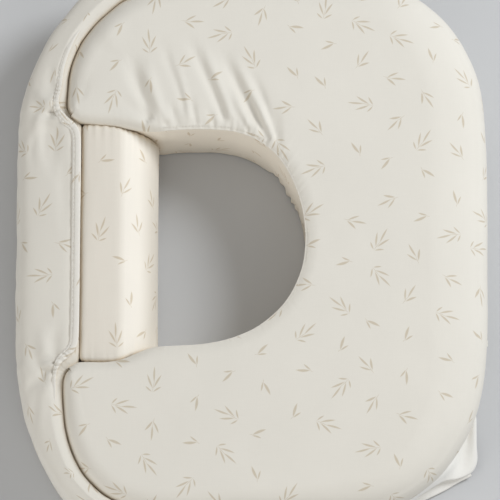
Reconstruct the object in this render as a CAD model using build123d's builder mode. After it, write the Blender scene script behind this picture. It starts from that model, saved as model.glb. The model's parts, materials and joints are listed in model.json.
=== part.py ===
from build123d import *
import math
import os

# Wrap-around nursing pillow: a C-shaped cushion, a band around its open side, a hinged
# back rest with a lumbar roll, a zip and a waist strap with a buckle.
# Millimetres, +Z up, origin at the centre of the overall footprint on the floor.
# The open side of the C faces -X and is closed by the back rest; the wearer stands in the
# D-shaped opening. In names, left is -X, right +X, upper or far +Y, lower or near -Y.

# ---- driving dimensions ----
HEIGHT = 115.0            # cushion height
CLOTH = 1.2               # cover cloth thickness
CLEARANCE = 0.3           # between cloth and foam
FOAM_INSET = CLOTH + CLEARANCE

LEFT, RIGHT = -207.5, 256.0
FAR, NEAR = 302.0, -301.0
R_FAR_LEFT, R_FAR_RIGHT = 136.0, 150.0
R_NEAR_LEFT, R_NEAR_RIGHT = 138.0, 160.0
RIM_TOP, RIM_BOTTOM = 27.0, 16.0
ARM_END_R = 15.0          # plan rounding of the arm ends
SEAM_HIGH, SEAM_LOW = 60.0, 13.0
SEAM_GAP = 0.1            # from each cover panel to the seam's height

BAND_Z0, BAND_Z1 = 3.0, 106.0
BAND_LEFT = -263.0
BAND_FAR, BAND_NEAR = 320.0, -320.0
BAND_RIM_TOP, BAND_RIM_BOTTOM = 22.0, 12.0
BAND_SEAM_Z, BAND_SEAM_GAP = 16.0, 0.2

HINGE_X, HINGE_Y = -230.0, 150.0    # back rest hinge line (vertical)
BACK_FACE_X = -189.0      # back rest's face towards the opening
SPLIT_Y = -150.0          # fold between the back rest and the lower band

ROLL_X0, ROLL_X1 = -186.6, -103.5
ROLL_Z0, ROLL_Z1 = 4.0, 104.0
ROLL_REACH = 286.0        # the lumbar roll's free end stays inside this radius of the hinge

PIPING_R = 1.6
PIPING_CUT_R = 1.75       # groove in the cover
PIPING_FOAM_R = 1.9       # groove in the foam

STRAP_WIDTH = 30.0
STRAP_THICKNESS = 1.6
STRAP_Z = 50.0            # strap centre height
BUCKLE_HEIGHT = 38.0      # buckle size along Z

ZIP_Z = 34.0
ZIP_Y0, ZIP_Y1 = -118.0, 128.0

CUT_Z0, CUT_Z1 = -5.0, 130.0        # cutting prisms reach past the pillow's height

# Waist opening's curved edge: x, y, from the far end round to the near end
OPENING = [
    (-103.0, 121.0), (-67.0, 124.0), (-23.0, 122.0), (10.0, 110.5), (39.5, 79.0),
    (56.0, 35.0), (59.6, 1.0), (51.5, -44.0), (18.6, -88.7), (-28.2, -111.9),
    (-60.0, -117.3), (-101.0, -118.4),
]
# Straight edges from the opening out past the left side, beside the notch: x, y
NOTCH_LOWER = [OPENING[-1], (-128.0, -127.5), (-145.0, -136.5), (-400.0, -136.5)]
NOTCH_UPPER = [(-400.0, 132.0), (-190.0, 131.5), OPENING[0]]

# Band's outer edge: x, y, from the far side round the left to the near side
BAND_OUTLINE = [
    (40.0, FAR - 6), (-20.0, 311.0), (-80.0, BAND_FAR), (-130.0, 315.0), (-163.0, 303.5),
    (-191.0, 287.0), (-211.0, 265.0), (-228.0, 241.0), (-240.3, 217.0), (-250.0, 193.0),
    (-257.5, 166.0), (-262.0, 130.0), (BAND_LEFT, 60.0), (BAND_LEFT, -20.0),
    (-262.3, -100.0), (-258.5, -149.0), (-251.0, -192.0), (-236.0, -237.0),
    (-208.5, -280.0), (-185.0, -300.0), (-150.0, -315.0), (-110.0, BAND_NEAR),
    (-60.0, -318.5), (-20.0, -312.0),
]

os.makedirs("parts", exist_ok=True)


def save(part, label):
    part.label = label
    export_step(part, "parts/" + label + ".step")


# ---- basic solids ----
def prism(points, z0=CUT_Z0, z1=CUT_Z1):
    """upright prism over a closed plan outline"""
    with BuildPart() as body:
        with BuildSketch(Plane.XY.offset(z0)):
            with BuildLine():
                Polyline(*points, close=True)
            make_face()
        extrude(amount=z1 - z0, dir=(0, 0, 1))
    return body.part


def box(x0, x1, y0, y1, z0, z1):
    return prism([(x0, y0), (x1, y0), (x1, y1), (x0, y1)], z0, z1)


def slab(z0, z1):
    """layer wider than the whole pillow"""
    return box(-500, 500, -500, 500, z0, z1)


def plate_facing_x(x, y, z, length, height, radius, thickness):
    """rounded plate from x towards +X, centred on y, z"""
    with BuildPart() as plate:
        with BuildSketch(Plane.YZ.offset(x)):
            with Locations((y, z)):
                RectangleRounded(length, height, radius)
        extrude(amount=thickness)
    return plate.part


def plate_facing_y(x, y, z, length, height, radius, thickness):
    """rounded plate from y towards +Y, centred on x, z"""
    with BuildPart() as plate:
        with BuildSketch(Plane.XZ.offset(-y)):
            with Locations((x, z)):
                RectangleRounded(length, height, radius)
        extrude(amount=-thickness)
    return plate.part


def hollow(solid):
    """cloth-thick skin of a solid given as a function of its inset"""
    with BuildPart() as skin:
        add(solid(0))
        add(solid(CLOTH), mode=Mode.SUBTRACT)
    return skin.part


def clipped(part, keep):
    with BuildPart() as piece:
        add(part)
        add(keep, mode=Mode.INTERSECT)
    return piece.part


# ---- plan outlines ----
def shifted(points, distance):
    """open chain moved sideways, to the left of its direction, with mitred corners"""
    moved = []
    for k, (x, y) in enumerate(points):
        steps = []
        if k > 0:
            steps.append((x - points[k - 1][0], y - points[k - 1][1]))
        if k < len(points) - 1:
            steps.append((points[k + 1][0] - x, points[k + 1][1] - y))
        normals = [(-dy / math.hypot(dx, dy), dx / math.hypot(dx, dy)) for dx, dy in steps]
        sum_x = sum(normal[0] for normal in normals)
        sum_y = sum(normal[1] for normal in normals)
        length = math.hypot(sum_x, sum_y)
        mitre_x, mitre_y = sum_x / length, sum_y / length
        cosine = mitre_x * normals[0][0] + mitre_y * normals[0][1]
        moved.append((x + mitre_x * distance / cosine, y + mitre_y * distance / cosine))
    return moved


def rim_sketch(inset, z):
    """convex outer outline of the C cushion, inset evenly"""
    x0, x1, y0, y1 = LEFT + inset, RIGHT - inset, NEAR + inset, FAR - inset
    corners = (
        (x0, y1, R_FAR_LEFT), (x1, y1, R_FAR_RIGHT),
        (x1, y0, R_NEAR_RIGHT), (x0, y0, R_NEAR_LEFT),
    )
    with BuildSketch(Plane.XY.offset(z)) as outline:
        with BuildLine():
            Polyline((x0, y1), (x1, y1), (x1, y0), (x0, y0), close=True)
        make_face()
        for x, y, radius in corners:
            corner = outline.vertices().sort_by_distance((x, y, z))[0]
            fillet(corner, radius=radius - inset)
    return outline.sketch


def opening_sketch(grow, z):
    """D-shaped waist opening with the notch that the lumbar roll fills"""
    curve = shifted(OPENING, grow)
    lower = shifted(NOTCH_LOWER, grow)
    upper = shifted(NOTCH_UPPER, grow)
    with BuildSketch(Plane.XY.offset(z)) as outline:
        with BuildLine():
            Spline(*curve)
            Polyline(curve[-1], *lower[1:], *upper[:-1], curve[0])
        make_face()
    return outline.sketch


def hinge_polar(angle, radius):
    """plan point at an angle (degrees) and radius from the hinge line"""
    return (HINGE_X + radius * math.cos(math.radians(angle)),
            HINGE_Y + radius * math.sin(math.radians(angle)))


# ---- solids shared by covers and foams, each inset evenly ----
def cushion_solid(inset):
    """C cushion with rounded rims"""
    z0, z1 = inset, HEIGHT - inset
    with BuildPart() as body:
        add(rim_sketch(inset, z0))
        extrude(amount=z1 - z0, dir=(0, 0, 1))
        fillet(body.faces().sort_by(Axis.Z)[-1].edges(), radius=RIM_TOP - inset)
        fillet(body.faces().sort_by(Axis.Z)[0].edges(), radius=RIM_BOTTOM - inset)
        # opening, notch and the rounded arm ends beside the notch
        with BuildSketch(Plane.XY.offset(-1)) as plan:
            add(rim_sketch(inset - 1.0, -1))
            add(opening_sketch(inset, -1), mode=Mode.SUBTRACT)
            ends = [v for v in plan.vertices() if v.X < -205 and abs(v.Y) < 145]
            fillet(ends, radius=ARM_END_R - inset)
        extrude(amount=HEIGHT + 2, dir=(0, 0, 1), mode=Mode.INTERSECT)
    return body.part


def cushion_keepout(gap):
    """space the band leaves free for the cushion"""
    with BuildPart() as body:
        add(rim_sketch(-gap, -1))
        extrude(amount=HEIGHT + 20, dir=(0, 0, 1))
    return body.part


def band_solid(inset):
    """whole band before it is divided; its inner side runs inside the cushion"""
    z0, z1 = BAND_Z0 + inset, BAND_Z1 - inset
    outline = shifted(BAND_OUTLINE, inset)
    with BuildPart() as body:
        with BuildSketch(Plane.XY.offset(z0)):
            with BuildLine():
                Spline(*outline)
                Polyline(outline[-1], (-20.0, 0.0), (40.0, 0.0), outline[0])
            make_face()
        extrude(amount=z1 - z0, dir=(0, 0, 1))
        # only the curved outer edges are rounded
        for face, radius in ((-1, BAND_RIM_TOP), (0, BAND_RIM_BOTTOM)):
            edges = body.faces().sort_by(Axis.Z)[face].edges()
            fillet(edges.filter_by(GeomType.LINE, reverse=True), radius=radius - inset)
    return body.part


def upper_band(inset):
    reach = 700.0
    end_x = 34.0 - inset
    sector = [
        hinge_polar(131, 3.0 + inset), hinge_polar(131, reach), (0, reach), (end_x, reach),
        (end_x, 152.0 + inset), (HINGE_X + 6 + inset, 152.0 + inset),
    ]
    with BuildPart() as body:
        add(band_solid(inset))
        # keeps only the sector above the hinge gap
        add(prism(sector), mode=Mode.INTERSECT)
        add(cushion_keepout(1.0 + inset), mode=Mode.SUBTRACT)
    return body.part


def back_rest(inset):
    region = [
        hinge_polar(205, 4.0 + inset), hinge_polar(205, 200), (-400, SPLIT_Y + inset),
        (BACK_FACE_X - inset, SPLIT_Y + inset), (BACK_FACE_X - inset, 124.0 - inset),
        (-202.5 - inset * 0.6, 132.5 - inset * 0.6), (-216.0, 143.5 - inset * 1.2),
        (-226.0, 145.5 - inset * 1.2),
    ]
    arm_clearance = [
        (-211.0 - inset, -400), (-211.0 - inset, -141.0 + inset),
        (-204.0 - inset, -133.5 + inset), (-180.0, -131.5 + inset), (-180.0, -400),
    ]
    with BuildPart() as body:
        add(band_solid(inset))
        add(prism(region), mode=Mode.INTERSECT)
        # clears the lower arm's end
        add(prism(arm_clearance), mode=Mode.SUBTRACT)
    return body.part


def lower_band(inset):
    fold_y = SPLIT_Y - 0.5 - inset
    end_x = -64.0 - inset
    region = [(-400, fold_y), (-180, fold_y), (end_x, -250), (end_x, -400), (-400, -400)]
    with BuildPart() as body:
        add(band_solid(inset))
        add(prism(region), mode=Mode.INTERSECT)
        add(cushion_keepout(3.0 + inset), mode=Mode.SUBTRACT)
    return body.part


def roll_solid(inset):
    """lumbar roll: flat against the back rest, flat top, rounded toward the opening"""
    x0, x1 = ROLL_X0 + inset, ROLL_X1 - inset
    z0, z1 = ROLL_Z0 + inset, ROLL_Z1 - inset
    upper_end = [
        (-250, -400), (-250, 129.8 - inset), (-190, 129.8 - inset), (-100, 119.2 - inset),
        (-60, 116.0), (-60, -400),
    ]
    with BuildPart() as body:
        with BuildSketch(Plane.XZ.offset(140)) as section:
            with BuildLine():
                Polyline((x0, z0), (x1, z0), (x1, z1), (x0, z1), close=True)
            make_face()
            # corners are picked in the sketch's own plane: X across, Z up
            for x, z, radius in ((x1, z1, 38), (x1, z0, 22), (x0, z1, 7), (x0, z0, 7)):
                corner = section.vertices().sort_by_distance((x, z, 0))[0]
                fillet(corner, radius=radius - inset)
        extrude(amount=280, dir=(0, 1, 0))
        # upper end follows the arm's wall, lower end is an arc about the hinge
        add(prism(upper_end), mode=Mode.INTERSECT)
        with BuildPart(Plane.XY.offset(-2), mode=Mode.PRIVATE) as reach:
            with Locations((HINGE_X, HINGE_Y, 0)):
                Cylinder(ROLL_REACH - inset, 140, align=(Align.CENTER, Align.CENTER, Align.MIN))
        add(reach.part, mode=Mode.INTERSECT)
    return body.part


def opening_wall_zone(grow, z0, z1):
    """zone that belongs to the opening's boxing wall"""
    with BuildPart() as zone:
        with BuildSketch(Plane.XY.offset(z0)):
            add(opening_sketch(CLOTH + grow, z0))
        extrude(amount=z1 - z0, dir=(0, 0, 1))
        add(box(-186.0 - grow, 400, -400, 400, z0 - 1, z1 + 1), mode=Mode.INTERSECT)
    return zone.part


with BuildLine(Plane.XY.offset(HEIGHT - PIPING_R)) as piping_path:
    Spline(*[(x, y, 0) for x, y in OPENING])


def piping_solid(radius):
    """round cord along the opening's top edge"""
    path = piping_path.line
    with BuildPart() as cord:
        with BuildSketch(Plane(origin=path @ 0, z_dir=path % 0)):
            Circle(radius)
        sweep(path=path)
    return cord.part


# ---- cushion ----
cushion_skin = hollow(cushion_solid)
piping_groove = piping_solid(PIPING_CUT_R)


def cover_panel(z0, z1, zone_z0, zone_z1):
    """cushion skin between two heights, without the opening's wall"""
    with BuildPart() as panel:
        add(cushion_skin)
        add(slab(z0, z1), mode=Mode.INTERSECT)
        add(opening_wall_zone(0.4, zone_z0, zone_z1), mode=Mode.SUBTRACT)
    return panel.part


with BuildPart() as foam_core:
    add(cushion_solid(FOAM_INSET))
    add(piping_solid(PIPING_FOAM_R), mode=Mode.SUBTRACT)
save(foam_core.part, "foam_core")

with BuildPart() as cover_top:
    add(cover_panel(SEAM_HIGH + SEAM_GAP, 200, 0, HEIGHT - CLOTH - 0.1))
    add(piping_groove, mode=Mode.SUBTRACT)
save(cover_top.part, "cover_top")

save(cover_panel(SEAM_LOW + SEAM_GAP, SEAM_HIGH - SEAM_GAP, 0, HEIGHT), "cover_side")
save(cover_panel(-5, SEAM_LOW - SEAM_GAP, CLOTH + 0.1, HEIGHT), "cover_base")

with BuildPart() as cover_opening_wall:
    add(cushion_skin)
    add(opening_wall_zone(0.15, CLOTH + 0.3, HEIGHT - CLOTH - 0.3), mode=Mode.INTERSECT)
    add(piping_groove, mode=Mode.SUBTRACT)
save(cover_opening_wall.part, "cover_opening_wall")

save(piping_solid(PIPING_R), "opening_piping")

# ---- zip on the right wall ----
TAPE_INNER, TAPE_OUTER = 2.0, 12.0  # tape edges, above and below the zip's middle
with BuildPart() as zip_tape:
    for z0, z1 in ((ZIP_Z - TAPE_OUTER, ZIP_Z - TAPE_INNER),
                   (ZIP_Z + TAPE_INNER, ZIP_Z + TAPE_OUTER)):
        add(box(RIGHT + 0.1, RIGHT + 0.7, ZIP_Y0, ZIP_Y1, z0, z1))
save(zip_tape.part, "zip_tape")

zip_coil = plate_facing_x(RIGHT + 0.2, (ZIP_Y0 + ZIP_Y1) / 2, ZIP_Z,
                          length=ZIP_Y1 - ZIP_Y0 - 12, height=3.0, radius=1.2, thickness=2.0)
save(zip_coil, "zip_coil")

SLIDER_Y = ZIP_Y0 + 16    # slider's closed position
PIN_X = RIGHT + 5.4       # pull's pin axis, parallel to Z
BRIDGE_X0, BRIDGE_X1 = RIGHT + 3.9, RIGHT + 7.1
with BuildPart() as zip_slider:
    add(plate_facing_x(RIGHT + 1.0, SLIDER_Y, ZIP_Z,
                       length=13.0, height=9.0, radius=2.0, thickness=2.9))
    # channel for the coil
    add(box(RIGHT + 0.5, RIGHT + 2.5, SLIDER_Y - 10, SLIDER_Y + 10, ZIP_Z - 1.75, ZIP_Z + 1.75),
        mode=Mode.SUBTRACT)
    # bridge that holds the pull
    with BuildSketch(Plane.XY.offset(ZIP_Z - 1.5)):
        with BuildLine():
            Polyline((BRIDGE_X0, SLIDER_Y - 5), (BRIDGE_X0, SLIDER_Y + 5),
                     (BRIDGE_X1, SLIDER_Y + 3.2), (BRIDGE_X1, SLIDER_Y - 3.2), close=True)
        make_face()
        with Locations((PIN_X, SLIDER_Y)):
            Circle(0.95, mode=Mode.SUBTRACT)
    extrude(amount=3.0)
save(zip_slider.part, "zip_slider")

with BuildPart() as zip_pull:
    # pin through the bridge
    with BuildSketch(Plane.XY.offset(ZIP_Z - 4.0)):
        with Locations((PIN_X, SLIDER_Y)):
            Circle(0.87)
    extrude(amount=8.0)
    # two cheeks and the grip
    for z in (ZIP_Z - 4.0, ZIP_Z + 2.2):
        add(box(PIN_X - 0.8, PIN_X + 0.9, SLIDER_Y - 0.9, SLIDER_Y + 9, z, z + 1.8))
    with BuildSketch(Plane.YZ.offset(PIN_X - 0.8)):
        with BuildLine():
            Polyline((SLIDER_Y + 7.4, ZIP_Z - 4), (SLIDER_Y + 7.4, ZIP_Z + 4),
                     (SLIDER_Y + 27, ZIP_Z + 3), (SLIDER_Y + 27, ZIP_Z - 3), close=True)
        make_face()
    extrude(amount=1.7)
save(zip_pull.part, "zip_pull")

with BuildPart() as zip_stops:
    for y in (ZIP_Y0 + 2.5, ZIP_Y1 - 2.5):
        add(box(RIGHT + 0.8, RIGHT + 2.8, y - 1.3, y + 1.3, ZIP_Z - 4, ZIP_Z + 4))
save(zip_stops.part, "zip_stops")

# ---- care label on the far wall ----
care_label = plate_facing_y(78, FAR + 0.2, 38, length=26, height=44, radius=1.0, thickness=0.5)
save(care_label, "care_label")

# ---- upper band (fixed to the cushion), back rest and lower band ----
for name, solid in (("upper_band", upper_band), ("back_rest", back_rest),
                    ("lower_band", lower_band)):
    skin = hollow(solid)
    save(clipped(skin, slab(BAND_SEAM_Z, 200)), name + "_cover")
    save(clipped(skin, slab(-5, BAND_SEAM_Z - BAND_SEAM_GAP)), name + "_base")
    save(solid(FOAM_INSET), name + "_foam")

# soft pleat that fills the wedge beside the hinge line: angle, radius about the hinge
PLEAT = [(168, 7), (133, 9), (133, 200), (168, 300), (203, 200), (203, 9)]
pleat_wedge = prism([hinge_polar(*point) for point in PLEAT], BAND_Z0, BAND_Z1)
save(clipped(band_solid(0.4), pleat_wedge), "hinge_gusset")

# ---- hem binding along the back rest's inner top edge, with a channel for the elastic ----
HEM_X0, HEM_X1 = -198.5, BACK_FACE_X
HEM_X = (HEM_X0 + HEM_X1) / 2
HEM_Z = BAND_Z1 + 2.1
with BuildPart() as back_hem:
    with BuildSketch(Plane.XZ.offset(-124)):
        with Locations((HEM_X, HEM_Z)):
            RectangleRounded(HEM_X1 - HEM_X0, 3.8, 1.4)
            Rectangle(7.4, 1.5, mode=Mode.SUBTRACT)
    extrude(amount=246)
save(back_hem.part, "back_hem")

save(box(HEM_X - 3.2, HEM_X + 3.2, -120, 122, HEM_Z - 0.4, HEM_Z + 0.4), "hem_elastic")

# ---- hook-and-loop that holds the lumbar roll ----
PATCH_Z = 58
loop_patch = plate_facing_x(BACK_FACE_X + 0.1, 0, PATCH_Z,
                            length=160, height=44, radius=4, thickness=0.9)
save(loop_patch, "loop_patch")
hook_patch = plate_facing_x(ROLL_X0 - 1.2, 0, PATCH_Z,
                            length=154, height=38, radius=4, thickness=1.0)
save(hook_patch, "hook_patch")

# ---- lumbar roll ----
roll_skin = hollow(roll_solid)


def roll_middle(gap):
    """zone between the roll's end panels"""
    low_y, high_y = -92 + gap, 108 - gap
    return prism([(-300, -104 + gap), (-300, high_y), (0, high_y), (0, low_y), (-104, low_y)])


save(clipped(roll_skin, roll_middle(0.4)), "lumbar_roll_cover")
with BuildPart() as lumbar_roll_ends:
    add(roll_skin)
    add(roll_middle(0), mode=Mode.SUBTRACT)
save(lumbar_roll_ends.part, "lumbar_roll_ends")
save(roll_solid(FOAM_INSET), "lumbar_roll_foam")

# ---- strap, buckle and adjuster on the near wall ----
STRAP_Z0, STRAP_Z1 = STRAP_Z - STRAP_WIDTH / 2, STRAP_Z + STRAP_WIDTH / 2
SLOT_Z0, SLOT_Z1 = STRAP_Z0 - 0.6, STRAP_Z1 + 0.6
BUCKLE_Z0, BUCKLE_Z1 = STRAP_Z - BUCKLE_HEIGHT / 2, STRAP_Z + BUCKLE_HEIGHT / 2
BUCKLE_Y = NEAR - 7.3     # buckle's middle plane
WEBBING_OFFSET = 2.6      # webbing's middle from the buckle's middle plane
STRAP_Y = BUCKLE_Y + WEBBING_OFFSET


def webbing_cuts(slot_x0, slot_x1, bar_x0, bar_x1):
    """cutters for a webbing slot and for slimming the bar beside it on both faces"""
    y0, y1 = BUCKLE_Y - 9, BUCKLE_Y + 9
    return [
        box(slot_x0, slot_x1, y0, y1, SLOT_Z0, SLOT_Z1),
        box(bar_x0, bar_x1, BUCKLE_Y + 1.6, y1, SLOT_Z0, SLOT_Z1),
        box(bar_x0, bar_x1, y0, BUCKLE_Y - 1.6, SLOT_Z0, SLOT_Z1),
    ]


CAVITY_Y0, CAVITY_Y1 = BUCKLE_Y - 2.4, BUCKLE_Y + 2.4
with BuildPart() as buckle_female:
    add(plate_facing_y(-26, BUCKLE_Y - 4.3, STRAP_Z,
                       length=42, height=BUCKLE_HEIGHT, radius=3.0, thickness=8.6))
    # cavity open towards the male half
    add(box(-34, 0, CAVITY_Y0, CAVITY_Y1, BUCKLE_Z0 + 3.0, BUCKLE_Z1 - 3.0), mode=Mode.SUBTRACT)
    # side windows for the prongs
    add(box(-27, -13, CAVITY_Y0, CAVITY_Y1, BUCKLE_Z0 - 2, BUCKLE_Z1 + 2), mode=Mode.SUBTRACT)
    for cut in webbing_cuts(-43.4, -37.6, -48, -43.4):
        add(cut, mode=Mode.SUBTRACT)
save(buckle_female.part, "buckle_female")

# webbing tab that ties the female half to the lower band's end
TAB_X0, TAB_X1 = -63.6, -40.6
with BuildPart() as buckle_tab:
    with BuildSketch(Plane.XY.offset(STRAP_Z0)):
        with BuildLine():
            Polyline((TAB_X0, BUCKLE_Y - WEBBING_OFFSET), (TAB_X1, BUCKLE_Y - WEBBING_OFFSET),
                     (TAB_X1, STRAP_Y), (TAB_X0, STRAP_Y))
        trace(line_width=STRAP_THICKNESS)
    extrude(amount=STRAP_WIDTH)
save(buckle_tab.part, "buckle_tab")

MALE_X = 26.0             # shoulder of the male half, unfastened
with BuildPart() as buckle_male:
    add(plate_facing_y(MALE_X + 13, BUCKLE_Y - 4.0, STRAP_Z,
                       length=26, height=BUCKLE_HEIGHT, radius=3.0, thickness=8.0))
    for cut in webbing_cuts(MALE_X + 10.5, MALE_X + 20.5, MALE_X + 20.5, MALE_X + 30):
        add(cut, mode=Mode.SUBTRACT)
    # centre guide tongue
    add(box(MALE_X - 21, MALE_X + 1, BUCKLE_Y - 1.5, BUCKLE_Y + 1.5,
            STRAP_Z - 2.2, STRAP_Z + 2.2))
save(buckle_male.part, "buckle_male")

# Latch arm outline: x from the male half's shoulder, height from the strap's centre
PRONG = [(-0.3, 8.6), (-0.3, 12.2), (-9, 12.6), (-10.5, 15.4), (-15, 15.4), (-21, 10.8),
         (-21, 8.6)]


def prong(side):
    """one flexing latch arm; side +1 is above the strap's centre, -1 below"""
    with BuildPart() as arm:
        with BuildSketch(Plane.XZ.offset(-(BUCKLE_Y - 1.9))):
            with BuildLine():
                Polyline(*[(MALE_X + x, STRAP_Z + side * z) for x, z in PRONG], close=True)
            make_face()
        extrude(amount=-3.8)
    return arm.part


save(prong(1), "prong_upper")
save(prong(-1), "prong_lower")

# tri-glide: end bars on the outer side of the strap, middle bar behind it
GLIDE_X = 84.0
GLIDE_Y0, GLIDE_Y1 = STRAP_Y - 4.0, STRAP_Y + 3.4
with BuildPart() as strap_adjuster:
    for x in (GLIDE_X - 12, GLIDE_X + 8):
        add(box(x, x + 4, GLIDE_Y0, STRAP_Y - 1.3, BUCKLE_Z0, BUCKLE_Z1))
    add(box(GLIDE_X - 2, GLIDE_X + 2, STRAP_Y + 1.2, GLIDE_Y1, BUCKLE_Z0, BUCKLE_Z1))
    for z0, z1 in ((BUCKLE_Z0, SLOT_Z0), (SLOT_Z1, BUCKLE_Z1)):
        add(box(GLIDE_X - 12, GLIDE_X + 12, GLIDE_Y0, GLIDE_Y1, z0, z1))
save(strap_adjuster.part, "strap_adjuster")

# Strap's curve round the near right corner, with slack: x, y
STRAP_CURVE = [
    (112.0, STRAP_Y), (150.0, -304.8), (182.0, -293.0), (208.0, -277.5), (231.0, -261.0),
    (246.0, -243.0), (253.5, -222.0), (257.0, -198.0), (258.9, -176.0), (259.2, -152.0),
]
# strap doubled round the male half's bar, then past the adjuster and round the corner
STRAP_FOLD_X = MALE_X + 17.4
with BuildPart() as waist_strap:
    with BuildSketch(Plane.XY.offset(STRAP_Z0)):
        with BuildLine():
            Polyline((MALE_X + 40, BUCKLE_Y - WEBBING_OFFSET),
                     (STRAP_FOLD_X, BUCKLE_Y - WEBBING_OFFSET),
                     (STRAP_FOLD_X, STRAP_Y), STRAP_CURVE[0])
            Spline(*STRAP_CURVE, tangents=[(1, 0), (0, 1)])
        trace(line_width=STRAP_THICKNESS)
    extrude(amount=STRAP_WIDTH)
save(waist_strap.part, "waist_strap")

# plate on the right wall and the block on it at the strap's end
with BuildPart() as strap_anchor:
    add(plate_facing_x(RIGHT + 0.2, -139, STRAP_Z,
                       length=24, height=STRAP_WIDTH + 6, radius=2, thickness=1.2))
    add(box(RIGHT + 1.4, RIGHT + 4.0, -151.5, -128, STRAP_Z0, STRAP_Z1))
save(strap_anchor.part, "strap_anchor")
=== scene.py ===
"""A cushion with an opening on its -x side, a padded band wrapped round that side, and a strap.

It lies flat on z = 0, seen from above: +x is right, +y is far and -y is near. The cushion curves
round the opening; the wrap band (upper arm at +y, back rest at -x, lower arm at -y) hugs it from
the left. A lumbar roll lies in the opening beside the back rest, and the waist strap runs along
the near side from the buckle to the cushion's right. Shapes are in millimetres, the scene in metres.
"""
import json
import math

import bpy
import numpy as np
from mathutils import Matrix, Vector

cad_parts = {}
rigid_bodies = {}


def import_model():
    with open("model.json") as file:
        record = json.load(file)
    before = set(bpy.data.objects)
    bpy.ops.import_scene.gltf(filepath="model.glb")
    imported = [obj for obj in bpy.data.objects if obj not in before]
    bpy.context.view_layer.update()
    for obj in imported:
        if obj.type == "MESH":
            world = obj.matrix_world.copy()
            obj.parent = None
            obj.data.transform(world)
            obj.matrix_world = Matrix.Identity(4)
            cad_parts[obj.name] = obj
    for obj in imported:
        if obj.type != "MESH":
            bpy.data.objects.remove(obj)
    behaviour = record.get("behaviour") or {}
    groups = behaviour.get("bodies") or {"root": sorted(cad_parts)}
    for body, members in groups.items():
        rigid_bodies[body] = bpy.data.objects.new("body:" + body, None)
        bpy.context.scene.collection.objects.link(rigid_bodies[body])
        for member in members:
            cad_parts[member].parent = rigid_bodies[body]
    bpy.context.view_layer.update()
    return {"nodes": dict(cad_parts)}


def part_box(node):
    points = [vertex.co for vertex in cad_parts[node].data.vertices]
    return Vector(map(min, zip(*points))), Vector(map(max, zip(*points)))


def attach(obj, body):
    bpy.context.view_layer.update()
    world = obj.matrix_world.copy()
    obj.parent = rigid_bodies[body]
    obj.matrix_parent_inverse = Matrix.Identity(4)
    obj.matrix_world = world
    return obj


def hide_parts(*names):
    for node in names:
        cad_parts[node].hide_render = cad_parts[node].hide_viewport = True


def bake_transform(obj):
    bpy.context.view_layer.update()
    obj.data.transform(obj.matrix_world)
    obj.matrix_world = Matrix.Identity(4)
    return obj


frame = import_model()
scene = bpy.context.scene
MM = 0.001
UV_PER_MM = 0.01  # the "print" map is stored in decimetres of cloth


# ------------------------------------------------------------------ curves
def catmull_rom(points, per=24):
    """smooth curve through the points, with per samples between neighbours"""
    p = np.array(points, float)
    p = np.vstack([2 * p[0] - p[1], p, 2 * p[-1] - p[-2]])
    t = np.linspace(0, 1, per, endpoint=False)[:, None]
    parts = []
    for a, b, c, d in zip(p, p[1:], p[2:], p[3:]):
        parts.append(0.5 * (2 * b + (c - a) * t + (2 * a - 5 * b + 4 * c - d) * t ** 2
                            + (3 * b - a - 3 * c + d) * t ** 3))
    parts.append(p[-2][None])
    return np.vstack(parts)


def arc_length(curve):
    return np.concatenate([[0], np.cumsum(np.linalg.norm(np.diff(curve, axis=0), axis=1))])


def at_length(curve, wanted, runs):
    """curve samples at the wanted lengths; runs is the length at each of its points"""
    return np.stack([np.interp(wanted, runs, column) for column in curve.T], axis=1)


def respace(curve, metric, count):
    """count samples of a curve, evenly spaced along the metric curve"""
    runs = arc_length(metric)
    return at_length(curve, np.linspace(0, runs[-1], count), runs)


def run_near(curve, runs, point):
    """length along the curve at its sample closest to a point"""
    return runs[int(np.argmin(np.linalg.norm(curve - np.array(point, float), axis=1)))]


def distance_to(curve, points):
    """distance from each point to a plane curve, and the nearest sample's index"""
    distance = np.zeros(len(points))
    index = np.zeros(len(points), int)
    chunk = 4000  # keeps the distance table small
    for start in range(0, len(points), chunk):
        part = slice(start, start + chunk)
        table = np.linalg.norm(points[part, None] - curve[None], axis=2)
        index[part] = table.argmin(1)
        distance[part] = table.min(1)
    return distance, index


def smooth(values, reach):
    """weighted running mean with held ends"""
    rows = np.pad(values.reshape(len(values), -1), [(reach, reach), (0, 0)], mode="edge")
    kernel = np.hanning(2 * reach + 1)
    kernel /= kernel.sum()
    means = [np.convolve(column, kernel, "valid") for column in rows.T]
    return np.stack(means, axis=1).reshape(values.shape)


def left_normals(curve):
    """unit vectors to the left of a plane curve's direction"""
    along = np.gradient(curve, axis=0)
    along /= np.linalg.norm(along, axis=1)[:, None] + 1e-12
    return np.stack([-along[:, 1], along[:, 0]], axis=1)


def smoothstep(low, high, x):
    t = np.clip((x - low) / (high - low), 0, 1)
    return t * t * (3 - 2 * t)


def window(x, rise_start, rise_end, fall_start, fall_end):
    """0 outside, 1 between rise and fall"""
    return smoothstep(rise_start, rise_end, x) * (1 - smoothstep(fall_start, fall_end, x))


def bell(x, centre, width):
    return np.exp(-((x - centre) / width) ** 2)


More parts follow.
